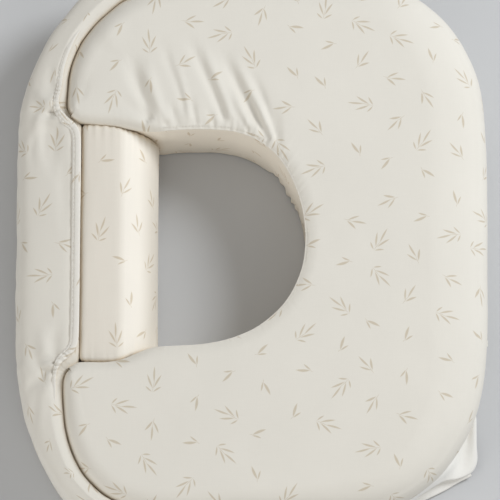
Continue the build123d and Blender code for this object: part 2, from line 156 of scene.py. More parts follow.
def pair_edges(inner, outer, pairs, count):
    """both outlines at count matched stations, with the length run along each"""
    edges = catmull_rom(inner), catmull_rom(outer)
    knots = []
    for side, edge in enumerate(edges):
        runs = arc_length(edge)
        knots.append([0] + [run_near(edge, runs, pair[side]) for pair in pairs] + [runs[-1]])
    # stations follow a weighted mean of the two lengths
    steps = 0.35 * np.diff(knots[0]) + 0.65 * np.diff(knots[1])
    mean_run = np.concatenate([[0], np.cumsum(steps)])
    stations = np.linspace(0, mean_run[-1], count)
    curves, stops = [], []
    for edge, knot in zip(edges, knots):
        stop = smooth(np.interp(stations, mean_run, knot), 9)
        stop[0] = 0
        stop[-1] = knot[-1]
        curves.append(at_length(edge, stop, arc_length(edge)))
        stops.append(stop)
    return *curves, *stops


# ------------------------------------------------------------------ noise and folds
LATTICE = np.random.default_rng(7).normal(size=(64, 64, 64))


def value_noise(x, y, z=0.0):
    """smooth value noise, mostly within -1..1"""
    cells = [np.floor(v).astype(int) for v in (x, y, z)]
    blends = [(v - cell) ** 2 * (3 - 2 * (v - cell)) for v, cell in zip((x, y, z), cells)]
    total = 0
    for corner in np.ndindex(2, 2, 2):
        value = LATTICE[tuple((cell + step) % 64 for cell, step in zip(cells, corner))]
        for blend, step in zip(blends, corner):
            value = value * (blend if step else 1 - blend)
        total = total + value
    return np.clip(total, -2, 2) * 0.6


FOLD_GAIN = 1.35
FOLD_REACH = 110  # half side of the square round a fold that it can touch


def fold_relief(plan, folds, where=True):
    """height added by long soft folds; each narrows from head to tail"""
    relief = np.zeros(len(plan))
    for chain, width, height, head, tail in folds:
        near = (np.abs(plan - np.mean(chain, axis=0)).max(1) < FOLD_REACH) & where
        centre = catmull_rom(chain, per=14)
        runs = arc_length(centre)
        gap, index = distance_to(centre, plan[near])
        along = runs[index] / runs[-1]
        fade = window(along, 0, head, 1 - tail, 1)
        narrowed = width * (1.35 - 0.6 * along)
        relief[near] += FOLD_GAIN * height * fade * np.exp(-(gap / narrowed) ** 2)
    return relief


# ------------------------------------------------------------------ mesh builders
def add_mesh(name, points, faces, shade_smooth=True):
    """an object from points in millimetres"""
    mesh = bpy.data.meshes.new(name)
    mesh.from_pydata((np.array(points) * MM).tolist(), [], faces)
    if shade_smooth:
        mesh.polygons.foreach_set("use_smooth", [True] * len(mesh.polygons))
    mesh.update()
    obj = bpy.data.objects.new(name, mesh)
    scene.collection.objects.link(obj)
    return obj


def grid_mesh(name, points, uv, close_rows=False, close_columns=False, flip=False, caps=False):
    """quads over points (rows, columns, 3) with print coordinates (rows, columns, 2) in mm"""
    rows, columns = points.shape[:2]
    order = -1 if flip else 1
    faces = []
    for row in range(rows if close_rows else rows - 1):
        this = row * columns
        following = (row + 1) % rows * columns
        for column in range(columns if close_columns else columns - 1):
            beside = (column + 1) % columns
            quad = (this + column, following + column, following + beside, this + beside)
            faces.append(quad[::order])
    if caps:
        last = (rows - 1) * columns
        faces.append(list(range(columns))[::order])
        faces.append(list(range(last, last + columns))[::-order])
    obj = add_mesh(name, points.reshape(-1, 3), faces)
    mesh = obj.data
    layer = mesh.uv_layers.new(name="print")
    corner_vertex = np.zeros(len(mesh.loops), int)
    mesh.loops.foreach_get("vertex_index", corner_vertex)
    flat_uv = uv.reshape(-1, 2) * UV_PER_MM
    layer.data.foreach_set("uv", flat_uv[corner_vertex].astype(np.float32).ravel())
    return obj


def sweep(name, path, profile, up=(0, 0, 1), closed=False, scale=None, uv_start=(0, 0)):
    """profile columns: across the path to its left, then along up; open paths get caps"""
    if closed:
        along = np.roll(path, -1, 0) - np.roll(path, 1, 0)
    else:
        along = np.gradient(path, axis=0)
    along /= np.linalg.norm(along, axis=1)[:, None]
    side = np.cross(np.broadcast_to(np.array(up, float), path.shape), along)
    side /= np.linalg.norm(side, axis=1)[:, None]
    rise = np.cross(along, side)
    scale = np.ones(len(path)) if scale is None else scale
    sized = profile[None] * scale[:, None, None]
    points = path[:, None] + sized[..., :1] * side[:, None] + sized[..., 1:] * rise[:, None]
    uv = np.zeros(points.shape[:2] + (2,))
    uv[..., 0] = arc_length(path)[:, None] + uv_start[0]
    uv[..., 1] = arc_length(np.vstack([profile, profile[:1]]))[:-1] + uv_start[1]
    return grid_mesh(name, points, uv, close_rows=closed, close_columns=True, caps=not closed)


def tube(name, path, radius, sides, closed=False, up=(0, 0, 1)):
    angles = np.linspace(0, 2 * math.pi, sides, endpoint=False)
    circle = np.stack([radius * np.cos(angles), radius * np.sin(angles)], 1)
    return sweep(name, path, circle, up=up, closed=closed)


def stitches(name, path, up, length, gap, radius):
    """separate short threads along a path, their ends sunk and their middles raised"""
    runs = arc_length(path)
    ups = np.broadcast_to(np.array(up, float), path.shape)
    sides = 5
    angles = np.linspace(0, 2 * np.pi, sides, endpoint=False)[:, None]
    bow = np.array([-0.15, 0.15, 0.15, -0.15])[:, None]
    radii = radius * np.array([0.7, 1.0, 1.0, 0.7])[:, None, None]
    vertices, faces = [], []
    for stitch in range(int(runs[-1] / (length + gap))):
        start = stitch * (length + gap)
        stops = np.linspace(start, start + length, 4)
        normal = at_length(ups, stops, runs)
        centre = at_length(path, stops, runs) + normal * bow
        along = centre[-1] - centre[0]
        along /= np.linalg.norm(along) + 1e-9
        circle = np.cos(angles) * np.cross(normal[1], along) + np.sin(angles) * normal[1]
        vertices.append((centre[:, None] + radii * circle).reshape(-1, 3))
        base = stitch * 4 * sides
        for ring in range(base, base + 3 * sides, sides):
            for a in range(sides):
                b = (a + 1) % sides
                faces.append((ring + a, ring + b, ring + sides + b, ring + sides + a))
        faces.append(tuple(range(base, base + sides))[::-1])
        faces.append(tuple(range(base + 3 * sides, base + 4 * sides)))
    return add_mesh(name, np.vstack(vertices), faces)


def ribbon(name, top, bottom, thickness, columns, rows, uv_start, wave=None):
    """a soft strip between two edges whose control points face each other"""
    edges = []
    for points in (top, bottom):
        curve = catmull_rom(points)
        stops = np.linspace(0, len(curve) - 1, rows)
        edges.append(smooth(at_length(curve, stops, np.arange(len(curve))), 3))
    upper, lower = edges
    v = np.linspace(0, 1, columns)
    middle = upper[:, None] * (1 - v[None, :, None]) + lower[:, None] * v[None, :, None]
    normal = np.cross(np.gradient(middle, axis=0), np.gradient(middle, axis=1))
    normal /= np.linalg.norm(normal, axis=2)[:, :, None] + 1e-9
    run = arc_length((upper + lower) / 2)
    if wave is not None:
        middle = middle + normal * wave(run[:, None], v[None, :])[:, :, None]
    # thin at the very edges, with a raised selvedge just inside them
    half = thickness / 2 * np.where(np.abs(v - 0.5) > 0.47, 0.6, 1.0)
    half[1] = half[-2] = thickness / 2 * 1.18
    offset = normal * half[None, :, None]
    points = np.concatenate([middle + offset, (middle - offset)[:, ::-1]], axis=1)
    width = np.linalg.norm(lower - upper, axis=1)[:, None]
    uv = np.zeros(points.shape[:2] + (2,))
    uv[..., 0] = run[:, None] + uv_start
    uv[..., 1] = np.concatenate([v[None] * width, width * (1 + v[None])], axis=1)
    return grid_mesh(name, points, uv, close_columns=True, caps=True)


# ------------------------------------------------------------------ cushion body
# plan outlines, x and y, both running clockwise from the upper tip to the lower tip
OUTER_OUTLINE = [
    (-199.5, 140), (-203.5, 145.5), (-206, 153), (-206.5, 165), (-205.5, 184.2), (-203, 198.4),
    (-198.5, 212.2), (-192, 227.1), (-183.9, 239.5), (-173.2, 252.6), (-157.6, 267.5), (-142.5, 279),
    (-115, 292), (-85, 299), (-40, 302), (20, 303), (80, 303), (125, 301.5), (160, 294),
    (189.5, 280.5), (215, 258.5), (232.8, 235), (244.8, 211.4), (253.2, 187), (257.6, 163),
    (259.6, 135), (260.9, 100), (261.2, 51), (260.4, -20), (259.6, -70), (258.6, -112),
    (254.6, -149), (249.2, -175), (240.5, -201), (226, -227.5), (208.5, -251), (190.5, -267.6),
    (171.7, -280.4), (150, -290), (120, -297), (80, -300.5), (0, -302), (-50, -303), (-85, -303),
    (-118, -299), (-143, -292), (-160.8, -283), (-175.8, -269.5), (-186.5, -256), (-196.8, -236),
    (-203.9, -212.9), (-206.8, -191.9), (-208, -170), (-207.3, -156), (-204, -147), (-199.5, -141.5),
]
INNER_OUTLINE = [
    (-199.5, 140), (-195, 136.6), (-188, 134), (-176, 132.4), (-155, 130.4), (-130, 126.8),
    (-103, 122.6), (-89, 123.4), (-67, 124.5), (-45, 124.5), (-23, 122.8), (-6.5, 118.6),
    (10, 110.7), (26.5, 97.3), (39.7, 79.2), (49.7, 57.8), (56.4, 35.3), (59.6, 11.7), (59.6, -7.4),
    (57.2, -26.4), (51.6, -44.2), (42.7, -62), (31.7, -76.5), (18.6, -88.7), (4.4, -98.7),
    (-11.9, -106.4), (-28.2, -111.9), (-44.5, -115.3), (-60, -117.2), (-82, -118.4),
    (-101, -119.4), (-112, -122), (-124, -127), (-134, -131.5), (-145, -135), (-160, -136.9),
    (-178, -137), (-190, -137.6), (-196, -139.4), (-199.5, -141.5),
]
CUSHION_PAIRS = [  # inner and outer points that face each other
    ((-188, 134), (-206, 165)), ((-155, 130.4), (-192, 227)), ((-103, 122.6), (-142.5, 279)),
    ((-23, 122.8), (-15, 302.5)), ((26.5, 97.3), (125, 301.5)), ((49.7, 57.8), (232.8, 235)),
    ((59.6, 2), (261, 30)), ((51.6, -44.2), (249.2, -175)), ((31.7, -76.5), (150, -290)),
    ((-28.2, -111.9), (-20, -302)), ((-101, -119.4), (-143, -292)), ((-145, -135), (-186.5, -256)),
    ((-178, -137), (-206.8, -191.9)),
]
RIM_WIDTHS = [  # point on the outer outline, width of the sloping rim there
    ((-199.5, 140), 9), ((-206, 165), 24), ((-192, 227), 28), ((-142, 279), 30), ((-40, 302), 36),
    ((125, 301.5), 46), ((215, 258), 58), ((258, 160), 64), ((261, 30), 66), ((258, -115), 64),
    ((226, -227), 50), ((150, -290), 36), ((0, -302), 30), ((-85, -303), 28), ((-161, -283), 28),
    ((-204, -213), 26), ((-208, -170), 24), ((-199.5, -141.5), 9),
]
TOP_Z = 114.5
SIDE_SEAM_Z = 50.5
CORNER_DROP = 48.5  # fall from the top to the widest line where the rim is narrow
CORNER_FOOT_Z = 65.6  # the rounded corner lies above this
RIM_SECTION = [  # share of the rim width outward of the outline, mm outward, height
    (-1, 0, TOP_Z), (-0.90, 0, TOP_Z - 0.5), (-0.78, 0, TOP_Z - 1.8), (-0.66, 0, TOP_Z - 3.8),
    (-0.54, 0, TOP_Z - 6.2), (-0.43, 0, TOP_Z - 9), (-0.33, 0, TOP_Z - 12.2),
    (-0.24, 0, TOP_Z - 16), (-0.155, 0, TOP_Z - 20.8), (-0.09, 0, TOP_Z - 26.5),
    (-0.04, 0, TOP_Z - 33.5), (-0.01, 0, TOP_Z - 41), (0, 0, TOP_Z - 49), (0, -0.8, TOP_Z - 57),
    (0, -2.6, 50.5), (0, -3.7, 45), (0, -4.3, 38), (0, -5.3, 30), (0, -7, 21), (0, -10, 12.5),
    (0, -15, 6), (0, -22, 2.4), (0, -32, 0.9), (0, -46, 0.5),
]
CUSHION_FOLDS = [  # plan points, width, height (below zero is a valley), head and tail fades
    ([(-136, 218), (-129, 190), (-119, 158), (-109, 131)], 8, -3.8, 0.45, 0.10),
    ([(-122, 208), (-111, 175), (-100, 145), (-93, 130)], 6.5, 2.4, 0.45, 0.10),
    ([(-74, 236), (-58, 204), (-44, 172), (-32, 142), (-26, 128)], 5.6, -2.6, 0.45, 0.10),
    ([(-60, 230), (-45, 196), (-31, 164), (-19, 131)], 5.4, 1.9, 0.45, 0.10),
    ([(-37, 222), (-22, 190), (-6, 158), (8, 134), (23, 110)], 6, -3.3, 0.4, 0.08),
    ([(-24, 214), (-8, 182), (6, 152), (18, 124)], 4.4, 1.6, 0.45, 0.08),
    ([(-6, 200), (8, 172), (20, 140), (30, 106)], 4, -1.8, 0.45, 0.08),
    ([(-104, 236), (-92, 204), (-80, 172), (-72, 140)], 5, -1.3, 0.45, 0.10),
    ([(-92, 218), (-80, 186), (-70, 152), (-66, 130)], 4.2, 1.2, 0.45, 0.10),
    ([(-22, 170), (-12, 148), (-2, 124)], 4.6, 2, 0.5, 0.10),
    ([(2, 168), (12, 143), (25, 109)], 5, 2.1, 0.5, 0.10),
    ([(22, 158), (27, 138), (33, 104)], 4.6, -1.5, 0.5, 0.10),
    ([(-104, 150), (-98, 138), (-93, 127)], 3.6, -1.3, 0.5, 0.08),
    ([(-89, 158), (-85, 142), (-80, 127)], 3.8, -1.4, 0.5, 0.08),
    ([(-68, 166), (-64, 147), (-60, 128)], 4.2, -1.5, 0.5, 0.08),
    ([(-48, 150), (-44, 138), (-40, 127)], 3.4, -1.3, 0.5, 0.08),
    ([(-14, 143), (-8, 132), (-2, 121)], 3, -1.4, 0.5, 0.08),
    ([(-150, 262), (-158, 230), (-160, 196)], 13, 1.4, 0.5, 0.5),
    ([(-176, 236), (-160, 214), (-138, 206)], 9, -1, 0.5, 0.5),
    ([(-150, 160), (-128, 146), (-112, 128)], 6.5, -1.5, 0.5, 0.12),
    ([(-139, 172), (-122, 156), (-104, 134)], 5.5, 1, 0.5, 0.12),
    ([(-188, 192), (-186, 170), (-190, 152)], 7, -0.8, 0.5, 0.3),
]
STATIONS = 620
TOP_COLUMNS = 60
TOP_SHARES = np.linspace(0, 1, TOP_COLUMNS) ** 1.25  # from the opening to the rim's start

inner_edge, outer_edge, inner_run, outer_run = pair_edges(
    INNER_OUTLINE, OUTER_OUTLINE, CUSHION_PAIRS, STATIONS)
outer_normal = left_normals(smooth(outer_edge, 4))  # points outward
inner_normal = left_normals(smooth(inner_edge, 3))  # points from the opening into the cushion
inner_end = inner_run[-1]


def cushion_surface():
    """the unwrinkled top, rim and wall, and their print coordinates"""
    outline = catmull_rom(OUTER_OUTLINE)
    runs = arc_length(outline)
    marks = [run_near(outline, runs, point) for point, _ in RIM_WIDTHS]
    rim = smooth(np.interp(outer_run, marks, [width for _, width in RIM_WIDTHS]), 10)
    rim_start = outer_edge - outer_normal * rim[:, None]
    fine = catmull_rom(RIM_SECTION, per=5)
    typical_rim = 45
    true_shape = np.stack([fine[:, 0] * typical_rim + fine[:, 1], fine[:, 2]], 1)
    section = respace(fine, true_shape, 74)

    points = np.zeros((STATIONS, TOP_COLUMNS + len(section) - 1, 3))
    uv = np.zeros(points.shape[:2] + (2,))
    share = TOP_SHARES[None, :, None]
    flat_top = inner_edge[:, None] * (1 - share) + rim_start[:, None] * share
    points[:, :TOP_COLUMNS, :2] = flat_top
    points[:, :TOP_COLUMNS, 2] = TOP_Z
    uv[:, :TOP_COLUMNS] = flat_top

    wide = smoothstep(20, 46, rim)
    cloth = np.zeros(STATIONS)
    last_offset, last_height = -rim, np.full(STATIONS, TOP_Z)
    for column, (rim_share, outward, z) in enumerate(section[1:], TOP_COLUMNS):
        offset = rim_share * rim + outward
        height = np.full(STATIONS, z)
        if z > CORNER_FOOT_Z:
            # narrow rims keep more height before they turn down
            reach = np.clip(1 + rim_share, 0, 1)
            soft_drop = CORNER_DROP * (1 - (1 - reach ** 2.5) ** (1 / 2.5))
            height = TOP_Z - ((TOP_Z - z) * wide + soft_drop * (1 - wide))
        points[:, column, :2] = outer_edge + outer_normal * offset[:, None]
        points[:, column, 2] = height
        cloth += np.hypot(offset - last_offset, height - last_height)
        last_offset, last_height = offset, height
        uv[:, column] = rim_start + outer_normal * cloth[:, None]
    return points, uv


def wrinkle_cushion(surface):
    """folds, gathers, the opening's lip and the wall's seam, worked into the surface in place"""
    columns = surface.shape[1]
    points = surface.reshape(-1, 3)
    x, y, z = points.T.copy()
    column = np.tile(np.arange(columns), STATIONS)
    on_top = column < TOP_COLUMNS
    on_upper = column < TOP_COLUMNS + 22
    on_wall = column >= TOP_COLUMNS + 18
    run = np.repeat(inner_run, columns)
    hole_gap = distance_to(inner_edge, points[:, :2])[0]

    relief = fold_relief(points[:, :2], CUSHION_FOLDS, on_upper)
    # gathers where the top panel is eased into the opening's seam
    gathers = np.sin(run * 0.62 + 1.7 * np.sin(run * 0.11)) * 0.6 + np.sin(run * 1.03 + 2.1) * 0.4
    ease = bell(run, 190, 85) + 0.18
    relief += gathers * ease * 0.75 * np.exp(-(hole_gap / 11)) * on_upper
    # broad waviness of a filled cover, then a finer one
    relief += on_upper * 0.9 * value_noise(x / 75 + 3, y / 75 + 9, z / 90)
    relief += on_upper * 0.25 * value_noise(x / 22 + 13, y / 22 + 5, z / 40)

    # lip beside the opening: rounded deep near the tips, shallow elsewhere
    tip = 1 - window(run, 75, 112, inner_end - 112, inner_end - 75)
    shallow = np.clip(1 - hole_gap / 15, 0, 1) ** 2 * 5
    lip = np.clip(1 - hole_gap / 13, 0, 1)
    deep = 16 * (1 - np.sqrt(np.clip(1 - lip ** 2.4, 0, 1)))
    relief -= on_top * (shallow * (1 - tip) + tip * deep)
    # near the tips the lip also leans into the opening, more on the lower one
    lean = tip * smoothstep(4, 14, np.minimum(run, inner_end - run))
    lean *= (0.8 + 1.6 * (run > inner_end / 2)) * np.exp(-hole_gap / 6) * on_top
    points[:, :2] -= np.repeat(inner_normal, columns, axis=0) * lean[:, None]
    # crown between opening and rim
    crown_fade = np.zeros(columns)
    crown_fade[:TOP_COLUMNS] = 1 - smoothstep(0.45, 0.98, TOP_SHARES)
    points[:, 2] += relief + 0.9 * smoothstep(0, 60, hole_gap) * crown_fade[column]

    # waves on the wall, calmer above the seam, fuller on the right
    x, y, z = points.T
    run = np.repeat(outer_run, columns)
    waves = 1.1 * value_noise(run / 34, z / 60 + 4) + 0.5 * value_noise(run / 11 + 7, z / 45)
    outward = on_wall * (1 - 0.75 * smoothstep(46, 58, z)) * waves * window(z, 3, 16, 92, 108)
    outward += smoothstep(60, 200, x) * on_wall * 1.5 * window(z, 50, 60, 88, 108)
    # the sunk seam between top panel and side panel, with its puckers
    outward -= bell(z, SIDE_SEAM_Z, 1.5) * on_wall * 1.5
    outward += 0.35 * np.sin(run * 0.9) * np.exp(-(np.abs(z - SIDE_SEAM_Z) / 7)) * on_wall
    points[:, :2] += np.repeat(outer_normal, columns, axis=0) * outward[:, None]
    points[:, 2] = np.maximum(points[:, 2], 0.4)


cushion, cushion_uv = cushion_surface()
wrinkle_cushion(cushion)
cushion_cover = grid_mesh("cushion_cover", cushion, cushion_uv, flip=True)
opening_top = cushion[:, 0, 2]


def build_base_panel():
    """closes the underside between the wall's foot and the opening"""
    share = np.linspace(0, 1, 14)[None, :, None]
    foot = cushion[:, -1:, :2]
    highlight_strip = np.full((STATIONS, share.size, 3), 0.45)
    highlight_strip[..., :2] = foot * (1 - share) + (inner_edge + inner_normal * 2)[:, None] * share
    return grid_mesh("cushion_base_panel", highlight_strip, highlight_strip[..., :2].copy(), flip=True)


def build_opening_wall():
    """the boxing wall of the opening"""
    mean_top = opening_top.mean()
    heights = [mean_top + 0.2, 106.5, 102, 94, 84, 72, 60, 48, 36, 25, 15, 8, 3.5, 1]
    heights = np.interp(np.linspace(0, 1, 40), np.linspace(0, 1, len(heights)), heights)
    points = np.zeros((STATIONS, len(heights), 3))
    uv = np.zeros((STATIONS, len(heights), 2))
    # shaping fades out towards both tips, and changes character on the right side
    shaped = window(inner_run, 70, 110, inner_end - 110, inner_end - 80)
    right = run_near(inner_edge, inner_run, (56.4, 35.3))
    far_side = 1 - smoothstep(right - 60, right + 10, inner_run)
    crumpled = window(inner_run, 220, 250, 330, 360)
    crumple = 1.3 * np.sin(inner_run * 0.55 + 1.3 * np.sin(inner_run * 0.16))
    for row, z in enumerate(heights):
        into = np.zeros(STATIONS)  # distance moved into the cushion
        if row:
            drop = mean_top - z
            waves = (0.8 * value_noise(inner_run / 16, z / 34)
                     + value_noise(inner_run / 40 + 9, z / 70)
                     + (1 - smoothstep(6, 30, z)) * crumpled * crumple)
            bulge = 0.8 + 1.6 * np.sin(np.clip((z - 2) / 106, 0, 1) * np.pi)
            undercut = 4.2 * min(1, max(0, drop / 40))
            into = shaped * (undercut * (1 - far_side) - bulge * far_side
                             + waves * min(1, drop / 12 + 0.05) * (0.45 + 0.55 * far_side))
        points[:, row, :2] = inner_edge + inner_normal * np.clip(into, -5, 4)[:, None]
        points[:, row, 2] = np.minimum(z, opening_top) if row else opening_top + 0.2
        uv[:, row, 0] = inner_run + 1300
        uv[:, row, 1] = z
    return grid_mesh("opening_wall", points, uv)


def build_opening_pipe():
    """thin piped seam round the top of the opening"""
    path = np.column_stack([inner_edge + inner_normal * 0.7, smooth(opening_top - 0.35, 2)])
    return tube("opening_pipe", path, radius=0.95, sides=8)


base_panel = build_base_panel()
opening_wall = build_opening_wall()
opening_pipe = build_opening_pipe()

# ------------------------------------------------------------------ wrap band
# plan outlines, x and y, both running anticlockwise from the upper arm to the lower arm
BAND_INNER = [
    (34, 305.3), (0, 307), (-45, 307.5), (-90, 305), (-125, 294), (-155, 275.5), (-181, 250.5),
    (-195.5, 231), (-207, 208.5), (-213, 189), (-216.3, 173), (-217, 159), (-213, 147.5),
    (-204, 139), (-195, 133), (-189.5, 123), (-188, 108), (-188, 60), (-188, 0), (-188, -60),
    (-188.4, -104), (-190.6, -119), (-198.4, -130), (-208.5, -138), (-214, -150), (-216.5, -168),
    (-216, -195), (-212, -225), (-202.5, -252), (-188, -274), (-166, -294), (-140, -305),
    (-110, -309.5), (-64.3, -308.5),
]
BAND_OUTER = [
    (40, 306.2), (-5, 311.5), (-50, 317.5), (-95, 319.5), (-132, 314), (-163, 303), (-191, 287.5),
    (-211.3, 265), (-228.1, 241.5), (-240.3, 218), (-250.2, 194.5), (-257, 171), (-261.3, 147.5),
    (-263.7, 122), (-264.3, 55), (-264.4, -13), (-263.4, -100), (-260.4, -145), (-253.4, -190),
    (-245.4, -215.5), (-235.9, -239), (-223.5, -261), (-207.6, -282.5), (-184, -302),
    (-150, -316), (-110, -321), (-64.3, -319.5),
]
BAND_PAIRS = [  # inner and outer points that face each other
    ((-90, 305), (-110, 318.5)), ((-181, 250.5), (-216, 259)), ((-207, 208.5), (-247, 203)),
    ((-217, 159), (-260.5, 154)), ((-204, 139), (-262.8, 137)), ((-190.5, 123), (-263.8, 121)),
    ((-189.3, 60), (-264.3, 60)), ((-189.6, -104), (-263.3, -104)), ((-199, -129.5), (-261.8, -130)),
    ((-214, -150), (-259.5, -151)), ((-216, -195), (-252, -195)), ((-202.5, -252), (-229, -252)),
    ((-166, -294), (-176, -307)), ((-110, -309.5), (-110, -321)),
]
BAND_SECTION = [  # share across, mm outward of the inner edge, height
    (0, 3, 5), (0, 0.9, 14), (0, 0.3, 34), (0, 0.2, 56), (0, 0.3, 76), (0, 0.4, 90), (0, 0.8, 98),
    (0, 2.2, 102.3), (0.04, 4, 104.2), (0.14, 3, 104.9), (0.28, 1, 103.8), (0.43, 0, 101.8),
    (0.58, 0, 99.2), (0.72, 0, 96), (0.83, 0, 92.2), (0.91, 0, 86.5), (0.965, 0, 78),
    (0.99, 0, 67), (1, 0, 54), (0.998, 0, 42), (0.985, 0, 30), (0.955, 0, 19), (0.90, 0, 10),
    (0.80, 0, 4.6), (0.62, 0, 3.2), (0.38, 0, 3), (0.14, 0, 3.2),
]
BAND_FOLDS = [  # plan points, width, height, head and tail fades
    ([(-213, 143), (-226, 140), (-241, 125), (-246, 96)], 8.5, 1.7, 0.2, 0.6),
    ([(-211, 136), (-218, 122), (-219, 96), (-217, 62)], 7.5, -2.6, 0.2, 0.6),
    ([(-216, 152), (-230, 160), (-242, 178)], 6, 1.9, 0.2, 0.6),
    ([(-217, 146), (-232, 148), (-247, 155)], 5, -2.2, 0.15, 0.6),
    ([(-214, 160), (-222, 180), (-220, 206)], 5.5, -1.5, 0.3, 0.6),
    ([(-236, 128), (-243, 105), (-241, 78)], 3.5, -1.2, 0.3, 0.6),
    ([(-215, 150), (-226, 132), (-228, 104), (-222, 74)], 4, -1.8, 0.15, 0.6),
    ([(-222, 158), (-236, 138), (-240, 112)], 3.6, 1.3, 0.15, 0.6),
    ([(-204, 128), (-207, 96), (-205, 30), (-204, -20)], 7, -1.4, 0.3, 0.6),
    ([(-214, -140), (-226, -118), (-230, -84)], 6.5, 2, 0.15, 0.7),
    ([(-212, -136), (-214, -112), (-208, -82)], 6, -2.1, 0.15, 0.7),
    ([(-219, -150), (-233, -136), (-240, -110)], 5, -1.8, 0.15, 0.7),
    ([(-219, -156), (-228, -180), (-229, -212)], 6, 1.8, 0.15, 0.7),
    ([(-221, -150), (-240, -160), (-250, -180)], 5, -1.6, 0.15, 0.7),
    ([(-224, -165), (-238, -200), (-238, -232)], 6, -1.2, 0.3, 0.6),
    ([(-206, -130), (-222, -128), (-240, -134)], 4, -1.3, 0.2, 0.7),
    ([(-207, -133), (-216, -130), (-226, -126)], 2.2, 1.3, 0.1, 0.6),
    ([(-210, -137), (-219, -134), (-229, -132)], 2, -1.4, 0.1, 0.6),
    ([(-212, -140), (-222, -139), (-231, -138)], 2, 1.3, 0.1, 0.6),
    ([(-214, -145), (-223, -144), (-232, -145)], 2.2, -1.3, 0.1, 0.6),
    ([(-215, -150), (-224, -151), (-230, -153)], 2, 1, 0.1, 0.6),
    ([(-209, 139), (-219, 138), (-230, 132)], 2.6, 1.4, 0.1, 0.6),
    ([(-213, 146), (-223, 146), (-232, 142)], 2.4, -1.3, 0.1, 0.6),
    ([(-216, 155), (-226, 158), (-234, 158)], 2.4, 1, 0.1, 0.6),
]
LEFT_NEIGHBOURS = [  # plan line the back rest's inner side leans against
    (-180, -132.5), (-184.5, -128), (-186, -120), (-186, -60), (-186, 0), (-186, 60), (-186, 122),
    (-184, 128), (-180, 131),
]

band_inner, band_outer, band_run, band_outer_run = pair_edges(
    BAND_INNER, BAND_OUTER, BAND_PAIRS, count=430)
band_end, band_outer_end = band_run[-1], band_outer_run[-1]
band_inner_normal = -left_normals(smooth(band_inner, 3))  # both point away from the cushion
band_outer_normal = -left_normals(smooth(band_outer, 4))

# the outer edge is drawn in a little, most at the lower left
lower_left = run_near(band_outer, band_outer_run, (-240, -228))
draw_in = (3.6 * window(band_outer_run, 0, 60, band_outer_end - 70, band_outer_end)
           + 2 * bell(band_outer_run, lower_left, 60))
band_outer = band_outer - band_outer_normal * draw_in[:, None]

# the arms' inner edges close up to the cushion
upper_turn = run_near(band_inner, band_run, (-204, 139))
lower_turn = run_near(band_inner, band_run, (-206, -136))
on_back = window(band_run, upper_turn + 4, upper_turn + 22, lower_turn - 22, lower_turn - 4)
neighbours = np.vstack([
    catmull_rom(OUTER_OUTLINE, per=10), catmull_rom(INNER_OUTLINE[:3], per=10),
    catmull_rom(INNER_OUTLINE[-5:], per=10), catmull_rom(LEFT_NEIGHBOURS)])
beyond_turn = np.maximum(upper_turn - band_run, band_run - lower_turn)
closing = np.minimum(3 + 7 * smoothstep(4, 52, beyond_turn),
                     distance_to(neighbours, band_inner)[0] - 1.4)
closing *= (1 - on_back) * smoothstep(-6, 8, beyond_turn)
closing = smooth(np.maximum(closing, 0) * window(band_run, 0, 40, band_end - 40, band_end), 5)
band_inner = band_inner - band_inner_normal * closing[:, None]


def band_surface(section):
    """the unwrinkled band, ring by ring"""
    width = np.linalg.norm(band_outer - band_inner, axis=1)
    gap = distance_to(neighbours, band_inner)[0]
    fill = smooth(np.clip(gap + 3 * (1 - on_back) - 0.3 * on_back, 0, 17), 3)
    fill *= window(band_run, 0, 30, band_end - 30, band_end)
    fullness = 0.55 + 0.45 * np.clip(width / 70, 0, 1)
    points = np.zeros((len(band_run), len(section), 3))
    for column, (share, outward, z) in enumerate(section):
        plan = band_inner + (band_outer - band_inner) * share
        if share < 0.5:
            plan += band_inner_normal * (outward * np.clip(width / 14, 0, 1))[:, None]
        if share < 0.02:
            # the inner face swells out low down and leans on the cushion
            swell = smoothstep(104, 98.2, z) * smoothstep(4, 20, z)
            plan -= band_inner_normal * (fill * swell)[:, None]
        points[:, column, :2] = plan
        # where the band narrows its top stays level and its edge rounds later
        points[:, column, 2] = 104.6 - (104.6 - z) * fullness if z > 54 else z
    return points


def wrinkle_band(surface, section):
    """folds and corner gathers on top, waves on the outer side, worked in place"""
    columns = len(section)
    points = surface.reshape(-1, 3)
    x, y, z = points.T.copy()
    run = np.repeat(band_run, columns)
    relief = fold_relief(points[:, :2], BAND_FOLDS)
    relief += 0.8 * value_noise(x / 30 + 31, y / 55 + 2, z / 60)
    corners = (bell(run, run_near(band_inner, band_run, (-208, -138)), 20)
               + 0.75 * bell(run, run_near(band_inner, band_run, (-210, 143)), 18))
    gathers = 1.5 * np.sin(run * 1.25 + 1.2 * np.sin(run * 0.23))
    relief += corners * gathers * np.exp(-distance_to(band_inner, points[:, :2])[0] / 12)
    points[:, 2] += relief * smoothstep(84, 98, z)

    z = points[:, 2]
    waves = 1.3 * value_noise(run / 46, z / 40 + 8) + 0.5 * value_noise(run / 13 + 5, z / 30)
    waves *= window(z, 4, 18, 84, 100) * np.tile(section[:, 0] > 0.8, len(band_run))
    points[:, :2] += np.repeat(band_outer_normal, columns, axis=0) * waves[:, None]


def even_band_section():
    """BAND_SECTION as 96 even steps round its ring"""
    fine = catmull_rom(BAND_SECTION + BAND_SECTION[:1], per=6)[:-1]
    typical_width = 70
    true_shape = np.column_stack([fine[:, 0] * typical_width + fine[:, 1], fine[:, 2]])
    return respace(fine, true_shape, 97)[:-1]


